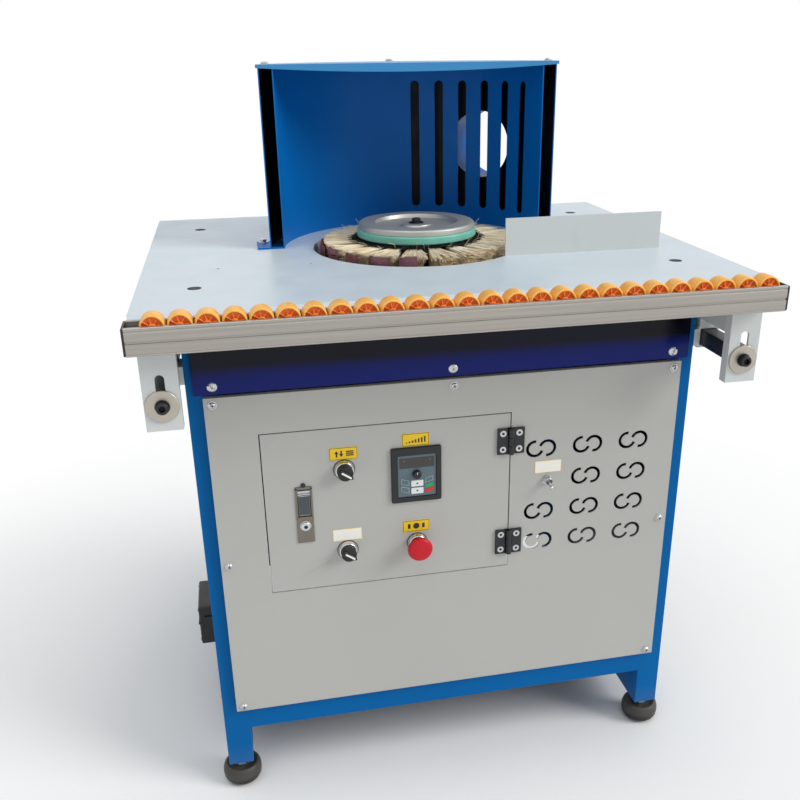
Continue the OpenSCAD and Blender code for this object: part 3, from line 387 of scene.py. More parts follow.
def cloth_finish(name, c, rubbed):
    """Abrasive cloth: dull grit with paler rubbed patches."""
    t = Tree(name)
    g = t.new("ShaderNodeNewGeometry")
    base = t.ramp(g.outputs["Random Per Island"], [(0.0, shade(c, 0.75)), (1.0, shade(c, 1.2))])
    rub = t.span(t.noise(70, 5), 0.5, 0.72, 0.0, 0.6)
    base = t.blend(rub, base, rubbed)
    grit = t.noise(2600, 3)
    base = t.blend(t.span(grit, 0.55, 0.7, 0.0, 0.35), base, shade(c, 0.45))
    return t.shader(base, 0.72, t.bump(grit, 0.6, 0.0004))


def disc_finish():
    """Green resin bonded disc, darker at its lower edge."""
    t = Tree("green_resin")
    c = rgb(112, 190, 172)
    z = t.xyz()[2]
    base = t.ramp(t.noise(40, 5), [(0.3, shade(c, 0.9)), (0.7, shade(c, 1.1))])
    base = t.blend(t.span(t.noise(300, 3), 0.55, 0.7, 0.0, 0.3), base, rgb(160, 206, 192))
    base = t.blend(t.span(z, 0.8545, 0.853, 0.0, 0.6), base, rgb(70, 140, 126))
    r = t.span(t.noise(60, 4), 0.3, 0.7, 0.3, 0.5)
    return t.shader(base, r, t.bump(t.noise(500, 3), 0.15, 0.0004))


def wheel_finish(name, c, dust, rough=0.4):
    """Moulded orange plastic, a little dusty where work rolls over it."""
    t = Tree(name)
    base = t.ramp(t.noise(90, 4), [(0.3, shade(c, 0.93)), (0.7, shade(c, 1.05))])
    base = t.blend(t.span(t.noise(160, 5), 0.5, 0.75, 0.0, 0.35), base, dust)
    return t.shader(base, t.span(t.noise(120, 4), 0.3, 0.7, rough - 0.06, rough + 0.1),
                    t.bump(t.noise(900, 2), 0.12, 0.0003))


NAVY = fascia_finish()
LAMINATE = table_finish()
ALU = extruded_finish()
TURNED = turned_finish("turned_steel", rgb(178, 178, 174), 0.46)
CORE = turned_finish("dull_core", rgb(70, 70, 72), 0.5)
FIBRE = bristle_finish()
CLOTH = cloth_finish("abrasive_cloth", rgb(118, 62, 66), rgb(160, 108, 110))
BACKING = cloth_finish("cloth_backing", rgb(128, 82, 90), rgb(170, 128, 136))
GREEN = disc_finish()
TREAD = wheel_finish("orange_tread", rgb(254, 186, 82), rgb(255, 214, 150))
HUB = wheel_finish("orange_hub", rgb(255, 134, 12), rgb(252, 130, 50), 0.45)
RIB = wheel_finish("orange_rib", rgb(250, 156, 96), rgb(252, 180, 130), 0.45)
# Painted shade: near black on the faces inside the gap of the hood's double wall
HOODBLUE = painted("hood_blue", rgb(0, 104, 182), 0.44, 0.06, 0.14, 260, 0.06, rgb(50, 110, 160), spec=0.2,
                   dark=shade_between_walls)
# Painted highlight: a paler copy of the hood's blue, for the roof and its lip
ROOF_HIGHLIGHT_BLUE = painted("roof_blue", rgb(58, 138, 194), 0.36, 0.05, 0.12, 260, 0.08, rgb(90, 160, 205), spec=0.35)


# Carried over CAD nodes: a finish, welded points and a small rounded edge

def dress(node, mat, edge, angle=32, segments=2):
    """Finish, and edges rounded by edge millimetres where faces meet by more than angle degrees."""
    o = NODES[node]
    o.data.materials.clear()
    o.data.materials.append(mat)
    for p in o.data.polygons:
        p.material_index = 0
    w = o.modifiers.new("weld", "WELD")
    w.merge_threshold = 0.00002
    if edge:
        b = o.modifiers.new("edge", "BEVEL")
        b.width = edge * MM
        b.segments = segments
        b.limit_method = "ANGLE"
        b.angle_limit = math.radians(angle)
        b.use_clamp_overlap = True
        b.harden_normals = False
    s = o.modifiers.new("sharp", "WEIGHTED_NORMAL")
    s.keep_sharp = True
    s.weight = 80


class Kit:
    """One piece made of many small solids, in millimetres."""

    def __init__(self):
        self.bm = bmesh.new()
        self.mats = []

    def slot_of(self, mat):
        if mat not in self.mats:
            self.mats.append(mat)
        return self.mats.index(mat)

    def take(self, part, mat, bevel=0.0, segments=2, at=None):
        """Adds a solid, with its edges of more than 30 degrees bevelled, placed by the matrix at."""
        part.normal_update()
        if bevel:
            sharp = [e for e in part.edges if len(e.link_faces) == 2
                     and e.calc_face_angle(0) > math.radians(30)]
            if sharp:
                bmesh.ops.bevel(part, geom=sharp, offset=bevel, segments=segments, profile=0.5,
                                affect="EDGES", clamp_overlap=True)
        k = self.slot_of(mat)
        for f in part.faces:
            f.material_index = k
            f.smooth = True
        if at is not None:
            part.transform(at)
        me = bpy.data.meshes.new("part")
        part.to_mesh(me)
        part.free()
        self.bm.from_mesh(me)
        bpy.data.meshes.remove(me)

    def box(self, lo, hi, mat, bevel, at=None, segments=2):
        """Box between two corners."""
        b = bmesh.new()
        v = [b.verts.new((x, y, z)) for x in (lo[0], hi[0]) for y in (lo[1], hi[1]) for z in (lo[2], hi[2])]
        for q in ((0, 1, 3, 2), (4, 6, 7, 5), (0, 4, 5, 1), (2, 3, 7, 6), (0, 2, 6, 4), (1, 5, 7, 3)):
            b.faces.new([v[i] for i in q])
        self.take(b, mat, bevel, segments, at=at)

    def prism(self, pts, depth, mat, bevel, at):
        """Outline in X and Y, raised along Z by depth."""
        b = bmesh.new()
        lo = [b.verts.new((x, y, 0)) for x, y in pts]
        hi = [b.verts.new((x, y, depth)) for x, y in pts]
        n = len(pts)
        b.faces.new(list(reversed(lo)))
        b.faces.new(hi)
        for i in range(n):
            b.faces.new((lo[i], lo[(i + 1) % n], hi[(i + 1) % n], hi[i]))
        bmesh.ops.recalc_face_normals(b, faces=b.faces)
        self.take(b, mat, bevel, at=at)

    def lathe(self, prof, mat, at=None, seg=32):
        """Profile of radius and height turned about Z."""
        b = bmesh.new()
        turns = [math.radians(360.0 * i / seg) for i in range(seg)]
        rings = []
        for r, z in prof:
            on_axis = r < 1e-6
            ring = [(0, 0, z)] if on_axis else [(r * math.cos(a), r * math.sin(a), z) for a in turns]
            rings.append([b.verts.new(v) for v in ring])
        for p, q in zip(rings, rings[1:]):
            for i in range(seg):
                corners = (p[i % len(p)], p[(i + 1) % len(p)], q[(i + 1) % len(q)], q[i % len(q)])
                corners = list(dict.fromkeys(corners))
                if len(corners) > 2:
                    b.faces.new(corners)
        bmesh.ops.recalc_face_normals(b, faces=b.faces)
        self.take(b, mat, at=at)

    def loft(self, rings, mat, caps, at):
        """Skin over outlines at given heights, closed at the ends that caps names."""
        b = bmesh.new()
        made = [[b.verts.new((p[0], p[1], z)) for p in pts] for pts, z in rings]
        n = len(made[0])
        for p, q in zip(made, made[1:]):
            for i in range(n):
                b.faces.new((p[i], p[(i + 1) % n], q[(i + 1) % n], q[i]))
        if caps[0]:
            b.faces.new(list(reversed(made[0])))
        if caps[1]:
            b.faces.new(made[-1])
        bmesh.ops.recalc_face_normals(b, faces=b.faces)
        self.take(b, mat, at=at)

    def mesh(self, name, sharp=40):
        """The whole piece as one mesh in metres, with edges of more than sharp degrees left sharp."""
        self.bm.transform(Matrix.Scale(MM, 4))
        me = bpy.data.meshes.new(name)
        self.bm.to_mesh(me)
        self.bm.free()
        for m in self.mats:
            me.materials.append(m)
        me.set_sharp_from_angle(angle=math.radians(sharp))
        return me

    def finish(self, name, body, replaces=()):
        """Places the piece in the scene: the body it rides on and the nodes it stands for."""
        o = link_new(name, self.mesh(name))
        w = o.modifiers.new("weigh", "WEIGHTED_NORMAL")
        w.keep_sharp = True
        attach(o, body)
        if replaces:
            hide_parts(*replaces)


def spin(degrees, axis="Z"):
    """Turning matrix in degrees."""
    return Matrix.Rotation(math.radians(degrees), 4, axis)


def moved(x, y, z):
    """Placing matrix in millimetres."""
    return Matrix.Translation((x, y, z))


def face_front(x, y, z):
    """Puts a solid drawn on X, Y and raised along Z onto a front face, raised towards the viewer."""
    return moved(x, y, z) @ spin(90, "X")


def upright(x, y, z, turn=0.0):
    """Leaves a solid as it is drawn, turned about its own Z."""
    return moved(x, y, z) @ spin(turn)


def circle(r, n, start=0.0):
    turns = [math.radians(start + 360 * i / n) for i in range(n)]
    return [(r * math.cos(a), r * math.sin(a)) for a in turns]


def rounded(w, h, r):
    """Rounded rectangle about the origin."""
    n = 4
    out = []
    for cx, cy, a in ((w / 2 - r, h / 2 - r, 0), (-w / 2 + r, h / 2 - r, 90),
                      (-w / 2 + r, -h / 2 + r, 180), (w / 2 - r, -h / 2 + r, 270)):
        for i in range(n + 1):
            t = math.radians(a + 90 * i / n)
            out.append((cx + r * math.cos(t), cy + r * math.sin(t)))
    return out


def pan_screw(kit, at, r, h, mat, washer=0.0, turn=20.0):
    """Domed cross screw: washer, head and a near black cross slab, painted shade in place of a sunk cross."""
    if washer:
        kit.lathe([(0, 0), (washer, 0), (washer, 0.9), (washer - 0.7, 1.3), (0, 1.3)], mat, at, 28)
    z0 = 1.3 if washer else 0.0
    kit.lathe([(0, z0), (r, z0), (r, z0 + 0.5), (r * 0.86, z0 + h * 0.6), (r * 0.55, z0 + h * 0.92), (0, z0 + h)],
              mat, at, 26)
    # Painted shade: the cross is a near black slab in place of a sunk recess
    for a in (turn, turn + 90):
        kit.box((-r * 0.52, -r * 0.11, z0 + h - 0.75), (r * 0.52, r * 0.11, z0 + h + 0.06), SHADE_BLACK, 0.04,
                at @ spin(a))


def socket_bolt(kit, at, r, h, mat):
    """Cylinder head with a rounded rim, knurl flats and a hexagon socket."""
    kit.lathe([(0, 0), (r, 0), (r, h - 1.2), (r - 0.35, h - 0.4), (r - 1.1, h), (r * 0.56, h),
               (r * 0.53, h - 0.5), (r * 0.5, h - 0.5)], mat, at, 36)
    # Painted shade: a near black hexagon at the bottom of the socket
    kit.prism(circle(r * 0.53, 6), 0.2, SHADE_BLACK, 0, at @ moved(0, 0, h - 4.2))
    b = bmesh.new()
    lo = [b.verts.new((x, y, h - 4.2)) for x, y in circle(r * 0.53, 6)]
    hi = [b.verts.new((x, y, h - 0.2)) for x, y in circle(r * 0.55, 6)]
    for i in range(6):
        b.faces.new((lo[i], hi[i], hi[(i + 1) % 6], lo[(i + 1) % 6]))
    kit.take(b, mat, at=at)
    for i in range(36):
        m = at @ spin(i * 10) @ moved(r, 0, 0)
        kit.box((-0.25, -0.32, 1.0), (0.16, 0.32, h - 1.4), mat, 0.0, m)


def hex_bolt(kit, at, af, h, mat, washer):
    """Hexagon head, af across its flats, over a washer where its radius isn't 0."""
    if washer:
        kit.lathe([(0, 0), (washer, 0), (washer, 1.0), (washer - 0.4, 1.3), (0, 1.3)], mat, at, 28)
        at = at @ moved(0, 0, 1.3)
    kit.prism(circle(af / math.sqrt(3), 6), h, mat, 0.5, at)
    kit.lathe([(0, h), (af * 0.46, h), (af * 0.4, h + 0.35), (0, h + 0.35)], mat, at, 24)


# Finishes of the nodes that stay as they are: material, edge, angle and segments

for how in (
        ("stand_frame", BLUE, 2.6, 40, 3), ("front_cover", GREY, 0), ("control_door", GREY, 0.5),
        ("upper_fascia", NAVY, 0.5), ("side_and_back_covers", COVER, 0.5), ("table_top", LAMINATE, 0.5, 50),
        ("arm_guides", WHITE, 0.6), ("hood_walls", HOODBLUE, 0.4, 50), ("hood_roof", ROOF_HIGHLIGHT_BLUE, 0.5, 50),
        ("fence", WHITE, 0.5), ("hanger_plates", WHITE, 0.5), ("oscillation_base", DARKSTEEL, 0.8),
        ("slide_carriage", DARKSTEEL, 0.8), ("spindle_motor", CASTING, 1.0, 50), ("brush_core", CORE, 0.8, 50),
        ("foot_studs", ZINC, 0.4, 50)):
    dress(*how)


# Feet

def feet():
    """Moulded pads, and the metal ring round each stud."""
    k = Kit()
    prof = [(0, 0), (17, 0), (22, 1.2), (27, 5), (30.4, 11), (31.4, 18), (31.2, 24), (29.6, 30), (27.2, 33.4),
            (25, 34), (23.2, 33), (21, 30.2), (16, 28.4), (9, 27.6), (6.3, 27.6)]
    for x in (-357, 357):
        for y in (-210, 290):
            at = upright(x, y, 0)
            k.lathe(prof, SOFT, at, 40)
            k.lathe([(12.0, 33.9), (12.4, 34.4), (6.3, 34.4), (6.3, 33.9)], ZINC, at, 24)
    k.finish("foot_pad_mouldings", "machine", ("foot_pads",))


feet()


# Roller rail

RAIL_END, RAIL_Y, RAIL_Z = 430, -370.0, 799.0


def wheel_x(i):
    """Centre of wheel i along X, counted from 0 at the left."""
    return (i - (WHEELS - 1) / 2) * WHEEL_PITCH + WHEEL_SHIFT


def roller_rail():
    """Extruded channel with end caps, their screws, and the wheels' pins and spacers."""
    k = Kit()
    # The section in depth and height, drawn from the lower front corner round
    sec = [(0.0, 0.6), (0.6, 0.0), (3.6, 0.0), (3.6, 1.4), (36.4, 1.4), (36.4, 0.0), (39.4, 0.0), (40, 0.6),
           (40, 34.4), (39.4, 35), (34.6, 35), (34.0, 34.2), (34.0, 15.6), (6.0, 15.6), (6.0, 34.2), (5.4, 35.0),
           (0.6, 35.0), (0.0, 34.4), (0.0, 31.6), (0.7, 31.0), (0.7, 29.6), (0.1, 29.0), (0.1, 18.6), (1.5, 18.0),
           (1.5, 16.0), (0.1, 15.4), (0.1, 3.0), (0.5, 2.6), (0.5, 1.9), (0.0, 1.5)]
    turn = Matrix(((0, 0, 1, -RAIL_END), (1, 0, 0, RAIL_Y), (0, 1, 0, RAIL_Z), (0, 0, 0, 1)))
    k.prism(sec, 2 * RAIL_END, ALU, 0.0, turn)
    for s in (-1, 1):
        at = Matrix(((0, 0, 1, s * (RAIL_END + 1.5) - 1.5), (1, 0, 0, RAIL_Y + 20), (0, 1, 0, RAIL_Z + 17.5),
                     (0, 0, 0, 1)))
        k.prism(rounded(39.6, 34.6, 2.4), 3.0, BLACK, 0.5, at)
        for y in (-13, 13):
            m = moved(s * (RAIL_END + 2.6), RAIL_Y + 20 + y, RAIL_Z + 7) @ spin(90 * s, "Y")
            pan_screw(k, m @ moved(0, 0, -0.6), 2.6, 0.9, OXIDE)
    for i in range(WHEELS):
        x = wheel_x(i)
        m = face_front(x, -335.9, WHEEL_Z)
        k.lathe([(0, 0), (2.0, 0), (2.0, 28.2), (0, 28.2)], ZINC, m, 14)
        for y in (-363.9, -337.6):
            k.lathe([(2.0, 0), (3.4, 0), (3.4, 1.5), (2.0, 1.5)], ALU, face_front(x, y + 1.5, WHEEL_Z), 16)
    k.finish("rail_extrusion", "rail", ("roller_rail",))


roller_rail()


def wheel_mesh():
    """One roller: a round tread, dished faces with eight ribs and a hub."""
    k = Kit()
    r, w = 15.25, 24.0
    h = w / 2
    tread = [(12.7, -h + 0.6), (13.2, -h), (14.4, -h), (15.1, -h + 0.7), (r, -h + 1.6), (r, h - 1.6),
             (15.1, h - 0.7), (14.4, h), (13.2, h), (12.7, h - 0.6)]
    k.lathe(tread + [tread[0]], TREAD, None, 56)
    dish = [(12.75, h - 0.7), (12.75, 6.8), (4.7, 6.8), (4.7, h - 0.4), (4.3, h - 0.1), (2.35, h - 0.1)]
    k.lathe([(radius, -z) for radius, z in dish], HUB, None, 40)
    k.lathe(list(reversed(dish)), HUB, None, 40)
    k.lathe([(2.35, -h + 0.1), (2.35, h - 0.1)], HUB, None, 20)
    for i in range(8):
        a = spin(i * 45 + 11)
        for s in (-1, 1):
            lo, hi = sorted((s * 6.7, s * (h - 1.4)))
            k.box((4.4, -0.35, lo), (12.9, 0.35, hi), RIB, 0.15, a)
    k.bm.transform(spin(90, "X"))
    return k.mesh("roller", 38)


def wheels():
    """The rollers share one mesh, and each rides on its own body."""
    me = wheel_mesh()
    for i in range(WHEELS):
        name = "wheel_%02d" % (i + 1)
        o = link_new("roller_%02d" % (i + 1), me)
        o.location = (wheel_x(i) * MM, WHEEL_Y * MM, WHEEL_Z * MM)
        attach(o, name)
        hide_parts(name)


wheels()


# Arms with their plugs, clamp washers and socket bolts

def arms():
    """Open square tubes with clamp washers and bolts."""
    k = Kit()
    for s in (-1, 1):
        x = s * ARM_X
        outer, inner, back = rounded(25, 25, 2.2), rounded(21, 21, 1.2), -555.7
        k.loft([(outer, 0), (outer, back), (inner, back), (inner, -24)], ARM, (True, True),
               face_front(x, -325.7, 724))
        at = face_front(x, -330.3, 720)
        k.lathe([(0, -4.7), (5.0, -4.7), (5.0, 0), (0, 0)], ZINC, at, 20)
        k.lathe([(5.2, 0), (20.4, 0), (21, 0.5), (21, 2.5), (20.5, 3.0), (5.4, 3.0), (5.2, 2.8), (5.2, 0)],
                WASHER, at, 56)
        k.lathe([(5.0, 2.9), (9.6, 2.9), (9.6, 4.1), (9.2, 4.4), (5.0, 4.4)], OXIDE, at, 36)
        socket_bolt(k, at @ moved(0, 0, 4.2), 7.8, 8.6, OXIDE)
    k.finish("arm_tubes", "arms", ("slide_arms",))


arms()


# Brush wheel: tufts of strands, abrasive strips, and near black strands of painted shade under the green disc

AX = Vector((0, BRUSH_Y, 0))
BZ, BT = 752.0, 850.0
TUFTS, TUFT_STEP, TUFT_START = 20, 18, 5
# Cloth hangs over the outside of these tufts
CLOTH_TUFTS = range(9, 15)


def strand(verts, faces, pts, r0, r1):
    """A three sided strand along points, thinning from radius r0 to r1."""
    sides = 3
    base = len(verts)
    n = len(pts)
    d = (pts[-1] - pts[0]).normalized()
    s = d.cross(Vector((0.13, 0.21, 0.97))).normalized()
    t = d.cross(s)
    for i, p in enumerate(pts):
        r = r0 + (r1 - r0) * i / (n - 1)
        for j in range(sides):
            a = 2 * math.pi * j / sides
            verts.append(p + s * (r * math.cos(a)) + t * (r * math.sin(a)))
    for i in range(n - 1):
        for j in range(sides):
            a, b = base + i * sides + j, base + i * sides + (j + 1) % sides
            faces.append((a, b, b + sides, a + sides))
    faces.append(tuple(base + (n - 1) * sides + j for j in range(sides)))
    faces.append(tuple(base + sides - 1 - j for j in range(sides)))


def polar(r, a, z):
    """Point at radius r and angle a in degrees about the brush's axis."""
    a = math.radians(a)
    return AX + Vector((r * math.cos(a), r * math.sin(a), z))


def mesh_piece(name, verts, faces, mats, body, replaces=(), smooth=True, index=None):
    """A piece from points in millimetres; index gives each face its material."""
    me = bpy.data.meshes.new(name)
    me.from_pydata([v * MM for v in verts], [], faces)
    for m in mats:
        me.materials.append(m)
    me.polygons.foreach_set("use_smooth", [smooth] * len(me.polygons))
    if index:
        me.polygons.foreach_set("material_index", index)
    me.update()
    o = link_new(name, me)
    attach(o, body)
    if replaces:
        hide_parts(*replaces)
    return o


def tufts():
    """The strands of every tuft, ending inside the cloth where cloth hangs outside."""
    rnd = random.Random(20)
    verts, faces = [], []
    per = 330
    for t in range(TUFTS):
        mid = t * TUFT_STEP + TUFT_START
        lean = rnd.uniform(-2.2, 2.2)
        reach = rnd.uniform(150, 158)
        for _ in range(per):
            u = rnd.uniform(-1, 1)
            kind = rnd.random()
            if kind < 0.5:
                z = BT - 3 - 9 * rnd.random() ** 1.6
            elif kind < 0.9:
                z = rnd.uniform(BZ + 6, BT - 6)
            else:
                z = BZ + 3 + 8 * rnd.random()
            rim = 1 - 0.22 * u * u
            r_end = (reach + rnd.uniform(-5, 4)) * (0.985 + 0.02 * rim)
            a0 = mid + u * 5.2 + rnd.uniform(-0.4, 0.4)
            a1 = mid + lean + u * 7.4 + rnd.uniform(-1.5, 1.5)
            z1 = z + rnd.uniform(-3.5, 2.6)
            if rnd.random() < 0.03:
                z1 += rnd.uniform(1, 5)
                r_end += 1.0
            if t in CLOTH_TUFTS:
                z1 = max(z1, z - 1.0)
                r_end = min(r_end, 149.5 if z < BT - 3.6 else 152.0)
            sag = rnd.uniform(-1.2, 1.6)
            swing = rnd.uniform(-1.0, 1.0)
            root, reached, turned, risen = 92, r_end - 92, a1 - a0, z1 - z
            pts = [polar(root, a0, z),
                   polar(root + reached * 0.4, a0 + turned * 0.4 + swing * 0.6, z + risen * 0.3 + sag),
                   polar(root + reached * 0.75, a0 + turned * 0.75 + swing * 0.5, z + risen * 0.7 + sag * 0.8),
                   polar(min(159.6, r_end), a1, min(z1, BT + 4))]
            w = rnd.uniform(0.55, 0.95)
            strand(verts, faces, pts, w, w * 0.55)
    # A few stray hairs that stand up by the green disc
    for _ in range(46):
        a = rnd.uniform(0, 360)
        r0 = rnd.uniform(99, 118)
        lift = rnd.uniform(6, 17)
        out = rnd.uniform(4, 22)
        p = [polar(r0, a, BT - 2), polar(r0 + out * 0.5, a + rnd.uniform(-2, 2), BT + lift * 0.6),
             polar(r0 + out, a + rnd.uniform(-4, 4), BT + lift)]
        strand(verts, faces, p, 0.34, 0.2)
    mesh_piece("bristle_tufts", verts, faces, [FIBRE], "brush", ("brush_bristles",), smooth=False)


def face_out(o):
    """Turns every face of a piece outwards."""
    bm = bmesh.new()
    bm.from_mesh(o.data)
    bmesh.ops.recalc_face_normals(bm, faces=bm.faces)
    bm.to_mesh(o.data)
    bm.free()


def tuft_hearts():
    """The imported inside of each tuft, ragged at its surface."""
    rnd = random.Random(7)
    verts, faces = [], []
    for t in range(TUFTS):
        mid = t * TUFT_STEP + TUFT_START
        na, nr, nz = 10, 7, 12
        face = 146 if t in CLOTH_TUFTS else 150
        grid = {}
        for i in range(na + 1):
            for j in range(nr + 1):
                for k in range(nz + 1):
                    if not (i in (0, na) or j in (0, nr) or k in (0, nz)):
                        continue
                    u = -1 + 2 * i / na
                    r = 90.5 + (face - 90.5) * j / nr
                    a = mid + u * (4.6 + 1.5 * j / nr)
                    z = BZ + 5 + (BT - BZ - 11) * k / nz
                    if j == nr:
                        r -= 3.5 * u * u + rnd.uniform(0, 4.5)
                    if k == nz:
                        z -= rnd.uniform(0, 2.4)
                    grid[i, j, k] = len(verts)
                    verts.append(polar(r, a + rnd.uniform(-0.3, 0.3), z))

        def quad(corners, turn):
            faces.append(tuple(grid[c] for c in (reversed(corners) if turn else corners)))

        for i in range(na):
            for j in range(nr):
                for k in (0, nz):
                    quad([(i, j, k), (i, j + 1, k), (i + 1, j + 1, k), (i + 1, j, k)], k == nz)
        for i in range(na):
            for k in range(nz):
                for j in (0, nr):
                    quad([(i, j, k), (i + 1, j, k), (i + 1, j, k + 1), (i, j, k + 1)], j == 0)
        for j in range(nr):
            for k in range(nz):
                for i in (0, na):
                    quad([(i, j, k), (i, j + 1, k), (i, j + 1, k + 1), (i, j, k + 1)], i == na)
    face_out(mesh_piece("tuft_hearts", verts, faces, [HEART], "brush"))


def heart_finish():
    """Close packed fibre: strong fine streaks along the strands."""
    t = Tree("packed_fibre")
    x, y, z = t.xyz()
    a = t.math("ARCTAN2", t.math("SUBTRACT", y, BRUSH_Y * MM), x)
    n = t.new("ShaderNodeTexNoise", Scale=1.0, Detail=4.0, Roughness=0.7)
    mix = t.new("ShaderNodeCombineXYZ")
    t.link(t.math("MULTIPLY", a, 190.0), mix.inputs[0])
    t.link(t.math("MULTIPLY", z, 900.0), mix.inputs[1])
    t.link(mix.outputs[0], n.inputs["Vector"])
    base = t.ramp(n.outputs["Fac"],
                  [(0.32, rgb(150, 118, 74)), (0.5, rgb(216, 190, 142)), (0.66, rgb(240, 224, 190))])
    base = t.blend(t.span(t.noise(60, 4), 0.5, 0.68, 0.0, 0.6), base, rgb(184, 138, 76))
    return t.shader(base, 0.7, t.bump(n.outputs["Fac"], 0.7, 0.0012))


HEART = heart_finish()
tufts()
tuft_hearts()


# Abrasive: each strip's sector, width in degrees, foot and head as shares of the brush's height, slant of its
# upper edge, number of fingers, and how far round the rim it folds
STRIPS = [
    (0, 8, 0.20, 0.70, 0.10, 5, 0.6), (1, 6, 0.10, 0.60, 0.00, 4, 0.4), (2, 9, 0.10, 0.85, -0.10, 6, 0.8),
    (3, 12, 0.05, 0.92, 0.05, 7, 1.0), (4, 9, 0.05, 0.75, 0.15, 5, 0.7), (5, 7, 0.15, 0.85, -0.05, 5, 0.5),
    (6, 10, 0.05, 0.90, 0.08, 6, 0.9), (7, 11, 0.10, 0.80, -0.06, 6, 0.8), (8, 13, 0.05, 0.95, 0.04, 8, 1.0),
    (9, 12, 0.05, 0.96, 0.02, 9, 1.0), (10, 14, 0.02, 1.0, 0.0, 10, 1.0), (11, 14, 0.02, 1.0, 0.0, 10, 1.0),
    (12, 13, 0.05, 0.97, 0.03, 5, 0.95), (13, 14, 0.05, 0.99, 0.02, 8, 1.0), (14, 12, 0.02, 0.95, 0.50, 2, 0.95),
    (15, 4, 0.02, 0.66, 0.30, 3, 0.5), (16, 3, 0.02, 0.52, 0.20, 2, 0.4), (17, 4, 0.10, 0.40, 0.05, 3, 0.3),
    (18, 8, 0.30, 0.78, -0.05, 4, 0.7), (19, 6, 0.10, 0.60, 0.05, 4, 0.5)]


def sheet(verts, faces, index, rows, thick, mat):
    """A closed thin sheet from a grid of points and the way it faces."""
    base = len(verts)
    h, w = len(rows), len(rows[0])
    for side in (0.5, -0.5):
        for row in rows:
            for p, nrm in row:
                verts.append(p + nrm * (thick * side))

    def add(corners, turn=False):
        face = [base + s * h * w + i * w + j for s, i, j in corners]
        faces.append(tuple(reversed(face) if turn else face))
        index.append(mat)

    for i in range(h - 1):
        for j in range(w - 1):
            add([(0, i, j), (0, i, j + 1), (0, i + 1, j + 1), (0, i + 1, j)])
            add([(1, i, j), (1, i + 1, j), (1, i + 1, j + 1), (1, i, j + 1)])
    for i in range(h - 1):
        for j in (0, w - 1):
            add([(0, i, j), (0, i + 1, j), (1, i + 1, j), (1, i, j)], j > 0)
    for j in range(w - 1):
        for i in (0, h - 1):
            add([(0, i, j), (0, i, j + 1), (1, i, j + 1), (1, i, j)], i > 0)


def abrasive():
    """Slit strips: every finger runs out between two tufts and folds round the rim."""
    rnd = random.Random(11)
    verts, faces, index = [], [], []
    height = BT - BZ
    steps, fold_at = 12, 0.45
    root_r, rim_r, most_r = 93, 150, 159.4
    for sec, width, foot, head, slant, fingers, fold in STRIPS:
        a_root = sec * TUFT_STEP - 3.6
        for f in range(fingers):
            z0 = BZ + 2 + (height - 4) * (foot + (head - foot) * f / fingers)
            z1 = BZ + 2 + (height - 4) * (foot + (head - foot) * (f + 1) / fingers) - 0.5
            tip = width * (1 + rnd.uniform(-0.10, 0.08)) * fold
            droop = rnd.uniform(-1.5, 1.0)
            out = rnd.uniform(-1.6, 0.8)
            turned = rnd.uniform(-0.4, 0.4)
            rows = []
            for v in range(3):
                z = z0 + (z1 - z0) * v / 2
                upper_edge = f == fingers - 1 and v == 2
                row = []
                for s in range(steps + 1):
                    u = s / steps
                    folded = u >= fold_at
                    if folded:
                        q = (u - fold_at) / (1 - fold_at)
                        bend = min(1.0, q * 3.2)
                        a = a_root + turned + tip * q
                        r = rim_r + 8.6 * math.sin(bend * math.pi / 2) + out * q - 1.2 * q * q
                    else:
                        q = u / fold_at
                        bend = 0.0
                        a = a_root + turned * q
                        r = root_r + (rim_r - root_r) * q
                    c, d = math.cos(math.radians(a)), math.sin(math.radians(a))
                    n = Vector((c, d, 0)) * bend + Vector((d, -c, 0)) * (1 - bend)
                    zz = z + droop * q * folded
                    if upper_edge:
                        zz += height * slant * (u - 0.5) * (0.9 if folded else 0.1)
                    zz += 0.35 * math.sin(9 * u + f * 2.1 + sec)
                    row.append((polar(min(r, most_r), a, min(zz, BT - 1)), n.normalized()))
                rows.append(row)
            sheet(verts, faces, index, rows, 0.8, 0 if (sec + f) % 5 else 1)
    o = mesh_piece("abrasive_cloth_strips", verts, faces, [CLOTH, BACKING], "brush",
                   ("abrasive_strips",), index=index)
    face_out(o)
    o.data.set_sharp_from_angle(angle=math.radians(40))


abrasive()


def shade_strands():
    """Short near black strands in the gap under the green disc: painted shade where the disc shades the tufts."""
    rnd = random.Random(3)
    verts, faces = [], []
    for _ in range(900):
        a = rnd.uniform(0, 360)
        z = BT - rnd.uniform(-1, 5)
        r1 = rnd.uniform(99, 108) if rnd.random() < 0.8 else rnd.uniform(106, 114)
        p = [polar(90, a, z), polar((90 + r1) / 2, a + rnd.uniform(-1, 1), z + rnd.uniform(0, 1.2)),
             polar(r1, a + rnd.uniform(-1.5, 1.5), min(z + rnd.uniform(-1.0, 2.4), 852.4))]
        strand(verts, faces, p, rnd.uniform(0.6, 1.1), 0.4)
    mesh_piece("shade_strands_under_disc", verts, faces, [SHADE_BLACK], "brush", smooth=False)


shade_strands()


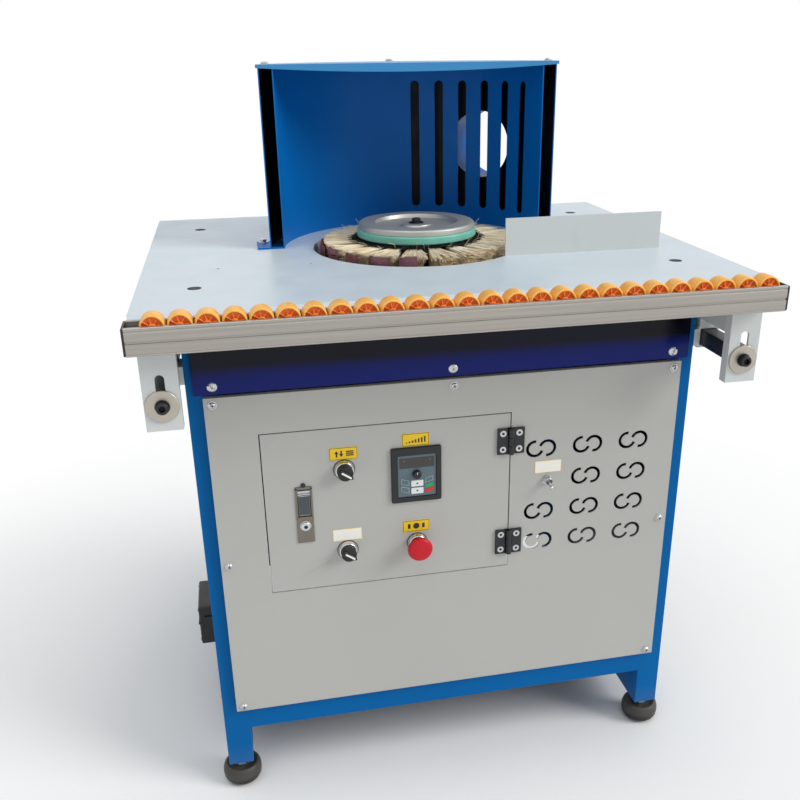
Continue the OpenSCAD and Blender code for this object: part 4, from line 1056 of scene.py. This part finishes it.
def clamp():
    """Green disc, and over it the steel flange with its bolt."""
    k = Kit()
    at = upright(0, BRUSH_Y, 0)
    k.lathe([(28, 853), (95.6, 853), (96.6, 853.9), (97, 855), (97, 862.4), (96.4, 864), (95.2, 865), (28, 865),
             (28, 853)], GREEN, at, 120)
    k.finish("pressure_disc", "brush", ("green_disc",))
    k = Kit()
    k.lathe([(9, 865), (93.4, 865), (94, 865.6), (94, 871.6), (93.2, 873.4), (91.6, 874.5), (89, 875), (69.5, 875),
             (67.4, 874.6), (66.6, 873.6), (64.8, 868.6), (62.5, 867.3), (59, 867), (30, 867), (26, 867.5),
             (24.6, 869), (24, 870.4), (22.6, 871), (12.2, 871), (9, 871)], TURNED, at, 144)
    k.lathe([(6.9, 870.9), (12, 870.9), (12, 872.2), (11.5, 872.6), (6.9, 872.6)], OXIDE, at, 36)
    socket_bolt(k, at @ moved(0, 0, 870.6), 6.75, 8.4, OXIDE)
    k.finish("clamp_flange_steel", "brush", ("clamp_flange",))


clamp()


# Front of the cabinet: screws, labels and hinges

def cover_details():
    """Pan screws on the cover, cup screws on the fascia, and the toggle's label."""
    k = Kit()
    for x, z in ((-343, 167), (343, 167), (-343, 425), (343, 425), (-343, 682), (0, 682), (343, 682)):
        pan_screw(k, face_front(x, FRONT, z), 5.0, 3.0, ZINC, 6.3, 25 + x * 0.1)
    for x in (-341, 0, 342):
        at = face_front(x, -235.0, 706)
        k.lathe([(7.2, 0), (6.6, 0.9), (4.6, 1.6), (3.4, 1.1), (0, 1.1)], ZINC, at, 28)
        pan_screw(k, at @ moved(0, 0, 0.7), 3.3, 1.3, ZINC, 0.0, 35 + x * 0.2)
    k.finish("cover_screws", "machine")
    k = Kit()
    plate(k, TOGGLE_X, 537.4, 42.6, 20.4)
    k.finish("switch_label", "machine")


def plate(k, x, z, w, h, marks=()):
    """A thin printed plate; marks are outlines in its own X and Y, and without any it is a blank pale one."""
    at = face_front(x, FRONT, z)
    k.prism(rounded(w, h, 0.8), 0.35, YELLOW, 0.1, at)
    if not marks:
        k.prism(rounded(w - 1.4, h - 1.4, 0.5), 0.5, BLANK, 0.1, at)
        return
    k.prism(rounded(w - 1.6, h - 1.6, 0.5), 0.45, INK, 0.05, at)
    k.prism(rounded(w - 3.0, h - 3.0, 0.4), 0.55, YELLOW, 0.05, at)
    for m in marks:
        k.prism(m, 0.65, INK, 0.0, at)


def arrow(x, y, w, h, up):
    """Outline of an arrow that points up or down."""
    s = 1 if up else -1
    pts = [(x - w * 0.18, y - s * h / 2), (x + w * 0.18, y - s * h / 2), (x + w * 0.18, y + s * h * 0.02),
           (x + w / 2, y + s * h * 0.02), (x, y + s * h / 2), (x - w / 2, y + s * h * 0.02),
           (x - w * 0.18, y + s * h * 0.02)]
    return pts if up else list(reversed(pts))


def door_labels():
    """Plates over the controls, with plain marks in place of words."""
    k = Kit()
    bars = [[(4, y), (15, y), (15, y + 2), (4, y + 2)] for y in (-4, 2, -1)]
    plate(k, -165.5, 591, 42, 20, [arrow(-10, 0, 6.5, 10, True), arrow(-3, 0, 6.5, 10, False)] + bars)
    ticks = [[(-15 + 4.6 * i, -5), (-12.6 + 4.6 * i, -5), (-12.6 + 4.6 * i, -3.2 + 1.3 * i),
              (-15 + 4.6 * i, -4.0 + 1.3 * i)] for i in range(7)]
    plate(k, -58.2, 602.8, 41.6, 20.5, ticks)
    posts = [[(x, -4), (x + 4, -4), (x + 4, 4), (x, 4)] for x in (9, -13)]
    plate(k, -59, 459.2, 42, 19.5, [circle(5.2, 8, 22.5)] + posts)
    plate(k, -165, 457, 44, 20)
    k.finish("door_labels", "door")


cover_details()
door_labels()

HX, HY = 87.75, -245.0
LEAF, HALF, KNUCKLE = 21.0, 21.0, 14.0


def hinge_leaf(k, z, side, own):
    """One leaf with two screws: side is -1 on the door and 1 on the cover, own lists its knuckles."""
    x0, x1 = (HX - LEAF, HX - 0.3) if side < 0 else (HX + 0.3, HX + LEAF)
    others = [j for j in range(3) if j not in own]
    e = 4.6 if side > 0 else -4.6
    pts = [(x0 if side < 0 else x1, z - HALF), (HX + side * 0.3, z - HALF)]
    for j in range(3):
        lo, hi = z - HALF + j * KNUCKLE, z - HALF + (j + 1) * KNUCKLE
        if j in others:
            pts += [(HX + side * 0.3, lo - 0.4), (HX + e * 1.1, lo - 0.4), (HX + e * 1.1, hi + 0.4),
                    (HX + side * 0.3, hi + 0.4)]
    pts += [(HX + side * 0.3, z + HALF), (x0 if side < 0 else x1, z + HALF)]
    clean = []
    for p in pts:
        p = (p[0], min(z + HALF, max(z - HALF, p[1])))
        if not clean or (abs(p[0] - clean[-1][0]) + abs(p[1] - clean[-1][1])) > 0.05:
            clean.append(p)
    k.prism(clean, 3.9, BLACK, 0.5, face_front(0, FRONT, 0))
    for j in own:
        lo = z - HALF + j * KNUCKLE
        hi = lo + KNUCKLE
        k.lathe([(2.1, lo + 0.2), (4.1, lo + 0.2), (4.5, lo + 0.6), (4.5, hi - 0.6), (4.1, hi - 0.2),
                 (2.1, hi - 0.2)], BLACK, upright(HX, HY, 0), 28)
        left, right = (-4.5, -0.4) if side < 0 else (0.4, 4.5)
        k.box((HX + left, HY + 0.4, lo + 0.3), (HX + right, FRONT - 0.2, hi - 0.3), BLACK, 0.2)
    for dz in (-13, 13):
        at = face_front(HX + side * 12.6, FRONT - 3.9, z + dz)
        k.lathe([(5.1, -0.3), (5.1, 0.05), (4.7, 0.25), (3.0, 0.1), (2.1, 0.0)], ZINC, at, 30)
        # Painted shade: a near black disc in the hole of each screw head
        k.lathe([(2.1, 0.02), (0, 0.02)], SHADE_BLACK, at, 16)
        k.lathe([(2.1, 0.0), (2.1, 0.12), (1.8, 0.12), (1.8, 0.0)], OXIDE, at, 16)


def hinges():
    """Leaves on the door, then leaves, pins and the toggle's body on the cover, then the toggle's bat."""
    k = Kit()
    for z in HINGE_ROWS:
        hinge_leaf(k, z, -1, [1])
    k.finish("hinge_leaves_door", "door", ("hinge_door_leaves",))
    k = Kit()
    for z in HINGE_ROWS:
        hinge_leaf(k, z, 1, [0, 2])
        k.lathe([(0, z - 20), (2.0, z - 20), (2.0, z + 20), (0, z + 20)], OXIDE, upright(HX, HY, 0), 18)
    at = face_front(TOGGLE_X, FRONT, TOGGLE_Z)
    k.lathe([(3.6, 0), (8.6, 0), (8.6, 0.7), (3.6, 0.7)], ZINC, at, 30)
    k.prism(circle(8.2, 6, 12), 2.4, ZINC, 0.4, at @ moved(0, 0, 0.7))
    k.lathe([(3.5, 0), (6, 0), (6, 7.8), (5.6, 8.6), (5.0, 9.0), (4.9, 7.2), (3.5, 5.0)], ZINC, at, 30)
    for i in range(4):
        k.lathe([(6.0, 3.6 + i * 1.2), (6.22, 3.9 + i * 1.2), (6.0, 4.2 + i * 1.2)], ZINC, at, 30)
    k.box((TOGGLE_X - 7, -238, TOGGLE_Z - 14), (TOGGLE_X + 7, -218, TOGGLE_Z + 14), BLACK, 1.0)
    k.finish("cover_hinges_and_toggle_body", "machine", ("cover_fittings",))
    k = Kit()
    tilt = moved(TOGGLE_X, TOGGLE_Y, TOGGLE_Z) @ spin(103, "X")
    k.lathe([(0, -3.4), (1.7, -2.9), (2.9, -1.7), (3.4, 0), (2.9, 1.7), (2.3, 2.4), (2.3, 9), (2.7, 13),
             (3.1, 16.4), (3.2, 17.6), (2.8, 19.2), (1.7, 20), (0, 20.2)], CHROME, tilt, 28)
    k.finish("toggle_bat", "toggle_lever", ("toggle_lever",))


hinges()


# Controls on the door

def shifted(pts, dx, dy):
    return [(x + dx, y + dy) for x, y in pts]


def collar(k, x, z):
    """Gasket and bezel in front of the door, contact block with four screws behind it."""
    at = face_front(x, FRONT, z)
    k.lathe([(10.5, 0), (16.0, 0), (16.2, 0.5), (15.8, 1.3), (10.5, 1.3)], SOFT, at, 48)
    k.lathe([(10.2, 0.6), (15.2, 1.2), (15.3, 2.0), (14.9, 3.0), (13.6, 7.0), (13.0, 7.8), (12.2, 8.0),
             (10.8, 7.8), (10.0, 6.8), (10.0, 0.6)], CHROME, at, 48)
    k.box((x - 15, -238, z - 20), (x + 15, -194.2, z + 20), BLACK, 1.2)
    for dx in (-9, 9):
        for dz in (-19.5, 19.5):
            pan_screw(k, moved(x + dx, -205, z + dz) @ spin(0 if dz > 0 else 180, "X"), 3.0, 1.2, ZINC)


def latch_tray(k):
    """Tray with its plain foot, the lock, and the pin that the lever turns on."""
    x = LATCH_X
    face = face_front(x, FRONT, 498)
    inner = shifted(rounded(19.2, 45, 1.4), 0, 19.5)
    # Rim strips round the lever's pocket and the plain foot below it
    k.prism(rounded(25, 43.2, 1.4), 2.0, TRAY, 0.5, face @ moved(0, -24.4, 0))
    k.prism(rounded(25, 4.4, 1.0), 2.0, TRAY, 0.5, face @ moved(0, 43.8, 0))
    for s in (-1, 1):
        k.prism(rounded(3.0, 50, 0.6), 2.0, TRAY, 0.5, face @ moved(s * 11.0, 20, 0))
    k.loft([(inner, 1.2), (inner, -9.6)], OXIDE, (False, True), face)
    k.loft([(rounded(21, 88, 1.0), -13), (rounded(21, 88, 1.0), -0.2)], TRAY, (True, False), face)
    at = face_front(x, FRONT - 2, 480)
    k.lathe([(0, 0), (8.2, 0), (8.2, 0.6), (7.4, 1.0), (7.2, 2.8), (6.4, 3.7), (4.6, 4.0), (0, 4.0)], CHROME,
            at, 40)
    # Painted shade: a near black bar in the lock's key slot
    k.box((-0.6, -2.6, 3.7), (0.6, 2.6, 4.06), SHADE_BLACK, 0.0, at)
    k.lathe([(0, 0), (3.0, 0), (3.0, 0.05), (0, 0.05)], OXIDE, at @ moved(0, 0, 3.98), 24)
    k.lathe([(0, -0.2), (3.6, -0.2), (3.6, 1.6), (2.6, 2.6), (0, 2.8)], BLACK, face_front(x, FRONT, 546.4), 24)
    k.lathe([(0, -10.2), (1.6, -10.2), (1.6, 10.2), (0, 10.2)], TRAY,
            moved(x, LATCH_Y, LATCH_Z) @ spin(90, "Y"), 16)


def door_fittings():
    """What is fixed to the door round the controls, then the latch's lever."""
    k = Kit()
    for x, z in ((SELECTOR_X, UPPER_Z), (SELECTOR_X, LOWER_Z), (CONTROL_X, LOWER_Z)):
        collar(k, x, z)
    latch_tray(k)
    k.finish("door_switch_and_latch_fittings", "door", ("door_fittings",))
    k = Kit()
    x = LATCH_X
    at = face_front(x, FRONT, 514)
    k.loft([(rounded(17.6, 34.6, 1.4), -1.6), (rounded(18, 35.2, 1.6), -1.0), (rounded(18, 35.2, 1.6), 1.2),
            (rounded(17.0, 34.2, 1.4), 2.0), (rounded(15.4, 32.0, 1.2), 2.0), (rounded(14.6, 31.0, 1.2), 1.5)],
           TRAY, (True, False), at)
    # The paddle's face in the darker steel of painted reflection
    k.loft([(rounded(14.6, 31.0, 1.2), 1.5), (rounded(14.4, 30.8, 1.2), 1.48)], LATCH_REFLECTION_GREY, (False, True), at)
    k.box((x - 9, -242, 528.8), (x + 9, -236.2, 532.6), ZINC, 0.5)
    k.lathe([(1.75, -9), (3.6, -9), (3.6, 9), (1.75, 9)], ZINC,
            moved(x, LATCH_Y, LATCH_Z) @ spin(90, "Y"), 24)
    k.finish("latch_paddle", "latch_lever", ("latch_lever",))


def selector(z, node):
    """Knob with a knurled skirt and a pointed grip that carries a white line."""
    k = Kit()
    at = face_front(SELECTOR_X, FRONT, z)
    k.lathe([(0, -5.6), (6, -5.6), (6, 8.4), (11.0, 8.4), (11.7, 8.9), (11.5, 17.0), (11.0, 18.4), (9.6, 18.9),
             (0, 19.0)], BLACK, at, 40)
    for i in range(24):
        m = at @ spin(i * 15) @ moved(11.4, 0, 0)
        k.box((-0.3, -0.45, 9.2), (0.2, 0.45, 16.4), BLACK, 0.1, m)
    m = at @ spin(-35)

    def blade(w, a, b, tip):
        return [(a, -w / 2 + 1), (a + 1.4, -w / 2), (b - 5, -w / 2), (b - tip, -w / 4), (b, 0), (b - tip, w / 4),
                (b - 5, w / 2), (a + 1.4, w / 2), (a, w / 2 - 1)]

    k.loft([(blade(8.6, -10.2, 13.0, 1.6), 12.3), (blade(8.2, -10.4, 13.5, 1.6), 15.2),
            (blade(7.4, -10.4, 13.8, 1.8), 19.8), (blade(6.6, -10.0, 13.4, 1.8), 21.2),
            (blade(5.2, -9.4, 12.6, 1.4), 21.9)], BLACK, (False, True), m)
    k.loft([(shifted(rounded(17.5, 3.0, 1.3), 1.4, 0), 21.8), (shifted(rounded(17.2, 2.7, 1.2), 1.4, 0), 22.12)],
           BLANK, (False, True), m)
    k.finish(node + "_knob", node, (node,))


def stop():
    """Mushroom cap with three raised arcs."""
    k = Kit()
    at = face_front(CONTROL_X, FRONT, LOWER_Z)
    k.lathe([(0, -2), (9, -2), (9, 15.8), (10.8, 16.6), (12.4, 17.0), (17.2, 19.4), (18.6, 21.0), (19.2, 23.2),
             (19.1, 25.2), (18.2, 27.2), (16.0, 28.7), (12, 29.5), (6, 29.9), (0, 30.0)], RED, at, 64)
    for i in range(3):
        a = 90 + i * 120
        turns = [math.radians(a + t) for t in range(0, 61, 6)]
        pts = [(11.4 * math.cos(t), 11.4 * math.sin(t)) for t in turns]
        pts += [(10.2 * math.cos(t), 10.2 * math.sin(t)) for t in reversed(turns)]
        k.prism(pts, 0.25, RED, 0.0, at @ moved(0, 0, 29.42))
    k.finish("stop_cap", "stop_button", ("stop_button",))


def keypad():
    """Inverter panel: frame, faceplate, display and keys, then its dial."""
    k = Kit()
    at = face_front(CONTROL_X, FRONT, 547)
    fx, fy = 0.8, -1.8
    out, inn = rounded(76, 89, 2.4), shifted(rounded(57.6, 67.6, 1.4), fx, fy)
    k.loft([(out, 0), (out, 3.6), (rounded(74.6, 87.6, 2.2), 4.8), (rounded(73.2, 86.2, 2.0), 5.0),
            (shifted(rounded(59.4, 69.4, 1.6), fx, fy), 5.0), (shifted(rounded(58.4, 68.4, 1.5), fx, fy), 4.5),
            (inn, 3.0)], BLACK, (True, False), at)
    k.loft([(inn, 3.0), (shifted(rounded(57.4, 67.4, 1.4), fx, fy), 3.02)], FACEPLATE, (False, True), at)
    k.prism(rounded(66, 78, 1.5), 25.8, BLACK, 0.6, at @ moved(0, 0, -26))
    w = at @ moved(fx, fy, 3.0)
    k.prism(shifted(rounded(52.4, 16.6, 0.9), 0, 21.6), 0.5, WINDOW, 0.15, w)
    for i in range(4):
        for dy in (3.6, 0, -3.6):
            k.prism(shifted(rounded(4.4, 0.5, 0.2), -9 + i * 8.2, 21.6 + dy), 0.56, SEGMENT, 0.0, w)
    for x in (-19.5, 19.5):
        k.lathe([(0, 0), (0.7, 0), (0.6, 0.6), (0, 0.7)], KEYLINE, w @ moved(x, 25.6, 0.2), 12)
    for i, y in enumerate((-12.4, -24.6)):
        k.prism(shifted(rounded(18.6, 9.9, 1.0), 0.1, y), 1.0, KEYWHITE, 0.35, w)
        s = 1 if i == 0 else -1
        tri = [(-1.9, y - s * 1.3), (1.9, y - s * 1.3), (0, y + s * 1.7)]
        k.prism(tri if s > 0 else list(reversed(tri)), 1.08, INK, 0.0, w)

    def slanted(x, y, ww, hh, rise, mat, outline):
        a = [(x - ww / 2, y - hh / 2 - rise / 2), (x + ww / 2, y - hh / 2 + rise / 2),
             (x + ww / 2, y + hh / 2 + rise / 2), (x - ww / 2, y + hh / 2 - rise / 2)]
        k.prism(a, 0.7, mat, 0.2, w)
        if outline:
            c = [(x + (p - x) * 0.84, y + (q - y) * 0.80) for p, q in a]
            k.prism(c, 0.8, FACEPLATE, 0.15, w)

    for y in (-9.6, -21.8):
        slanted(-18.2, y, 12.4, 9.0, -3.6, KEYLINE, True)
    slanted(18.4, -7.4, 12.2, 8.6, 3.6, KEYLINE, True)
    slanted(18.4, -17.2, 12.2, 6.6, 3.6, KEYGREEN, False)
    slanted(18.4, -24.8, 12.2, 6.6, 3.6, KEYRED, False)
    k.finish("speed_keypad", "door", ("keypad",))
    k = Kit()
    at = face_front(CONTROL_X, FRONT, 548.5)
    k.lathe([(0, -2.6), (2.5, -2.6), (2.5, 3.4), (6.4, 3.4), (6.6, 3.8), (6.3, 8.6), (5.9, 9.8), (5.0, 10.4),
             (4.4, 10.1), (0, 9.7)], BLACK, at, 40)
    for i in range(20):
        m = at @ spin(i * 18) @ moved(6.2, 0, 0)
        k.box((-0.3, -0.35, 3.9), (0.36, 0.35, 9.2), BLACK, 0.12, m)
    k.box((-0.4, 1.2, 9.7), (0.4, 5.0, 10.35), BLANK, 0.05, at)
    k.finish("speed_dial", "keypad_dial", ("keypad_dial",))


door_fittings()
selector(UPPER_Z, "upper_selector")
selector(LOWER_Z, "lower_selector")
stop()
keypad()


# Hood roof, bolts and the side box

def roof():
    """Flat roof with its curved front lip and bolts, then the bolts and screws on the table's edge and top."""
    k = Kit()
    r, cy, face, steps = 241.0, BRUSH_Y, 44.0, 72
    a0 = math.degrees(math.asin((face - cy) / r))
    turns = [math.radians(a0 + (180 - 2 * a0) * i / steps) for i in range(steps + 1)]
    arc = [(r * math.cos(a), cy + r * math.sin(a)) for a in turns]
    # Roof plate and lip in the paler blue of painted highlight
    k.prism(arc, 2.0, ROOF_HIGHLIGHT_BLUE, 0.45, upright(0, 0, 1112))
    half = math.sqrt(r * r - (face - cy) ** 2)
    sag = 8.0
    arc_r = (half * half + sag * sag) / (2 * sag)
    pts = [(half, 2.0), (-half, 2.0)]
    for i in range(41):
        x = -half + 2 * half * i / 40
        pts.append((x, -11 + arc_r - math.sqrt(arc_r * arc_r - x * x)))
    k.prism(pts, 2.0, ROOF_HIGHLIGHT_BLUE, 0.4, face_front(0, face, 1112))
    for x, y in ((-225.5, 55), (225.5, 55), (0, 251.5)):
        hex_bolt(k, upright(x, y, 1114, 11), 9.6, 2.3, ZINC, 7.0)
    k.finish("hood_roof_sheet", "machine", ("hood_roof",))
    k = Kit()
    for x in (-246.2, 246.2):
        hex_bolt(k, upright(x, 90, 839, 17), 10, 4.4, ZINC, 8.0)
    hex_bolt(k, upright(0, 281, 839, 5), 10, 4.4, ZINC, 8.0)
    for x in (184.5, 321):
        hex_bolt(k, upright(x, -78, 839, 24), 10.8, 4.4, ZINC, 0)
    for x in (-1, 1):
        for y in (-210, -40):
            at = moved(x * 415, y, 764) @ spin(90 * x, "Y")
            pan_screw(k, at, 3.6, 1.9, ZINC)
    k.finish("table_and_hood_bolts", "machine")


roof()


def side_box():
    """Connection box with a lid line, screws, a rocker and a gland under it."""
    k = Kit()
    k.box((-415.4, -9.4, 133.4), (-377, 83.4, 211.4), BLACK, 3.2, segments=3)
    k.box((-417, -10, 176), (-379, 84, 180), BLACK, 0.9)
    for y in (-3, 77):
        for z in (141, 203):
            at = moved(-415.4, y, z) @ spin(-90, "Y")
            pan_screw(k, at, 3.2, 1.1, OXIDE)
    k.box((-407, -12.8, 153), (-387, -9.2, 192), BLACK, 1.2)
    at = upright(-397, 37, 133.6) @ spin(180, "X")
    k.prism(circle(11, 6, 10), 5.5, BLACK, 0.6, at)
    k.lathe([(4.2, 5.4), (9, 5.4), (9, 9), (8.6, 12), (7.4, 14.6), (5.4, 16.4), (4.2, 16.4), (4.2, 12)], BLACK,
            at, 30)
    for i in range(12):
        m = at @ spin(i * 30) @ moved(8.8, 0, 0)
        k.box((-0.5, -0.7, 6), (0.5, 0.7, 11.2), BLACK, 0.2, m)
    k.finish("side_connection_box", "machine", ("side_box",))


side_box()


# Floor, light and surroundings

def stage():
    """White surroundings for the eye and for reflections, soft light, and a floor that keeps the shadow."""
    me = bpy.data.meshes.new("floor")
    s = 14.0
    me.from_pydata([(-s, -s, 0), (s, -s, 0), (s, s, 0), (-s, s, 0)], [], [(0, 1, 2, 3)])
    o = link_new("floor", me)
    o.location.z = -0.0004
    t = Tree("pale_floor")
    p = t.new("ShaderNodeBsdfPrincipled", Base_Color=rgb(246, 246, 245), Roughness=0.85, Specular_IOR_Level=0.2)
    white = t.new("ShaderNodeEmission", Strength=1.0)
    far = t.span(t.radius(0.0), 0.55, 1.5, 0.0, 1.0)
    t.mixed(t.math("MULTIPLY", far, t.seen()), p, white)
    me.materials.append(t.data)
    t = Tree("studio", world=True)
    soft = t.new("ShaderNodeBackground", Color=(0.93, 0.96, 1.0, 1), Strength=0.5)
    white = t.new("ShaderNodeBackground", Color=(1, 1, 1, 1), Strength=1.0)
    t.mixed(t.seen(), soft, white)
    SCENE.world = t.data

    def sun(name, toward, power, spread, color):
        li = bpy.data.lights.new(name, "SUN")
        li.energy = power
        li.angle = math.radians(spread)
        li.color = color
        link_new(name, li).rotation_euler = Vector(toward).to_track_quat("-Z", "Y").to_euler()

    sun("key", (-0.78, 0.42, -0.52), 1.75, 28, (1.0, 0.99, 0.97))
    sun("top", (0.15, 0.25, -1.0), 0.75, 50, (0.97, 0.99, 1.0))


stage()
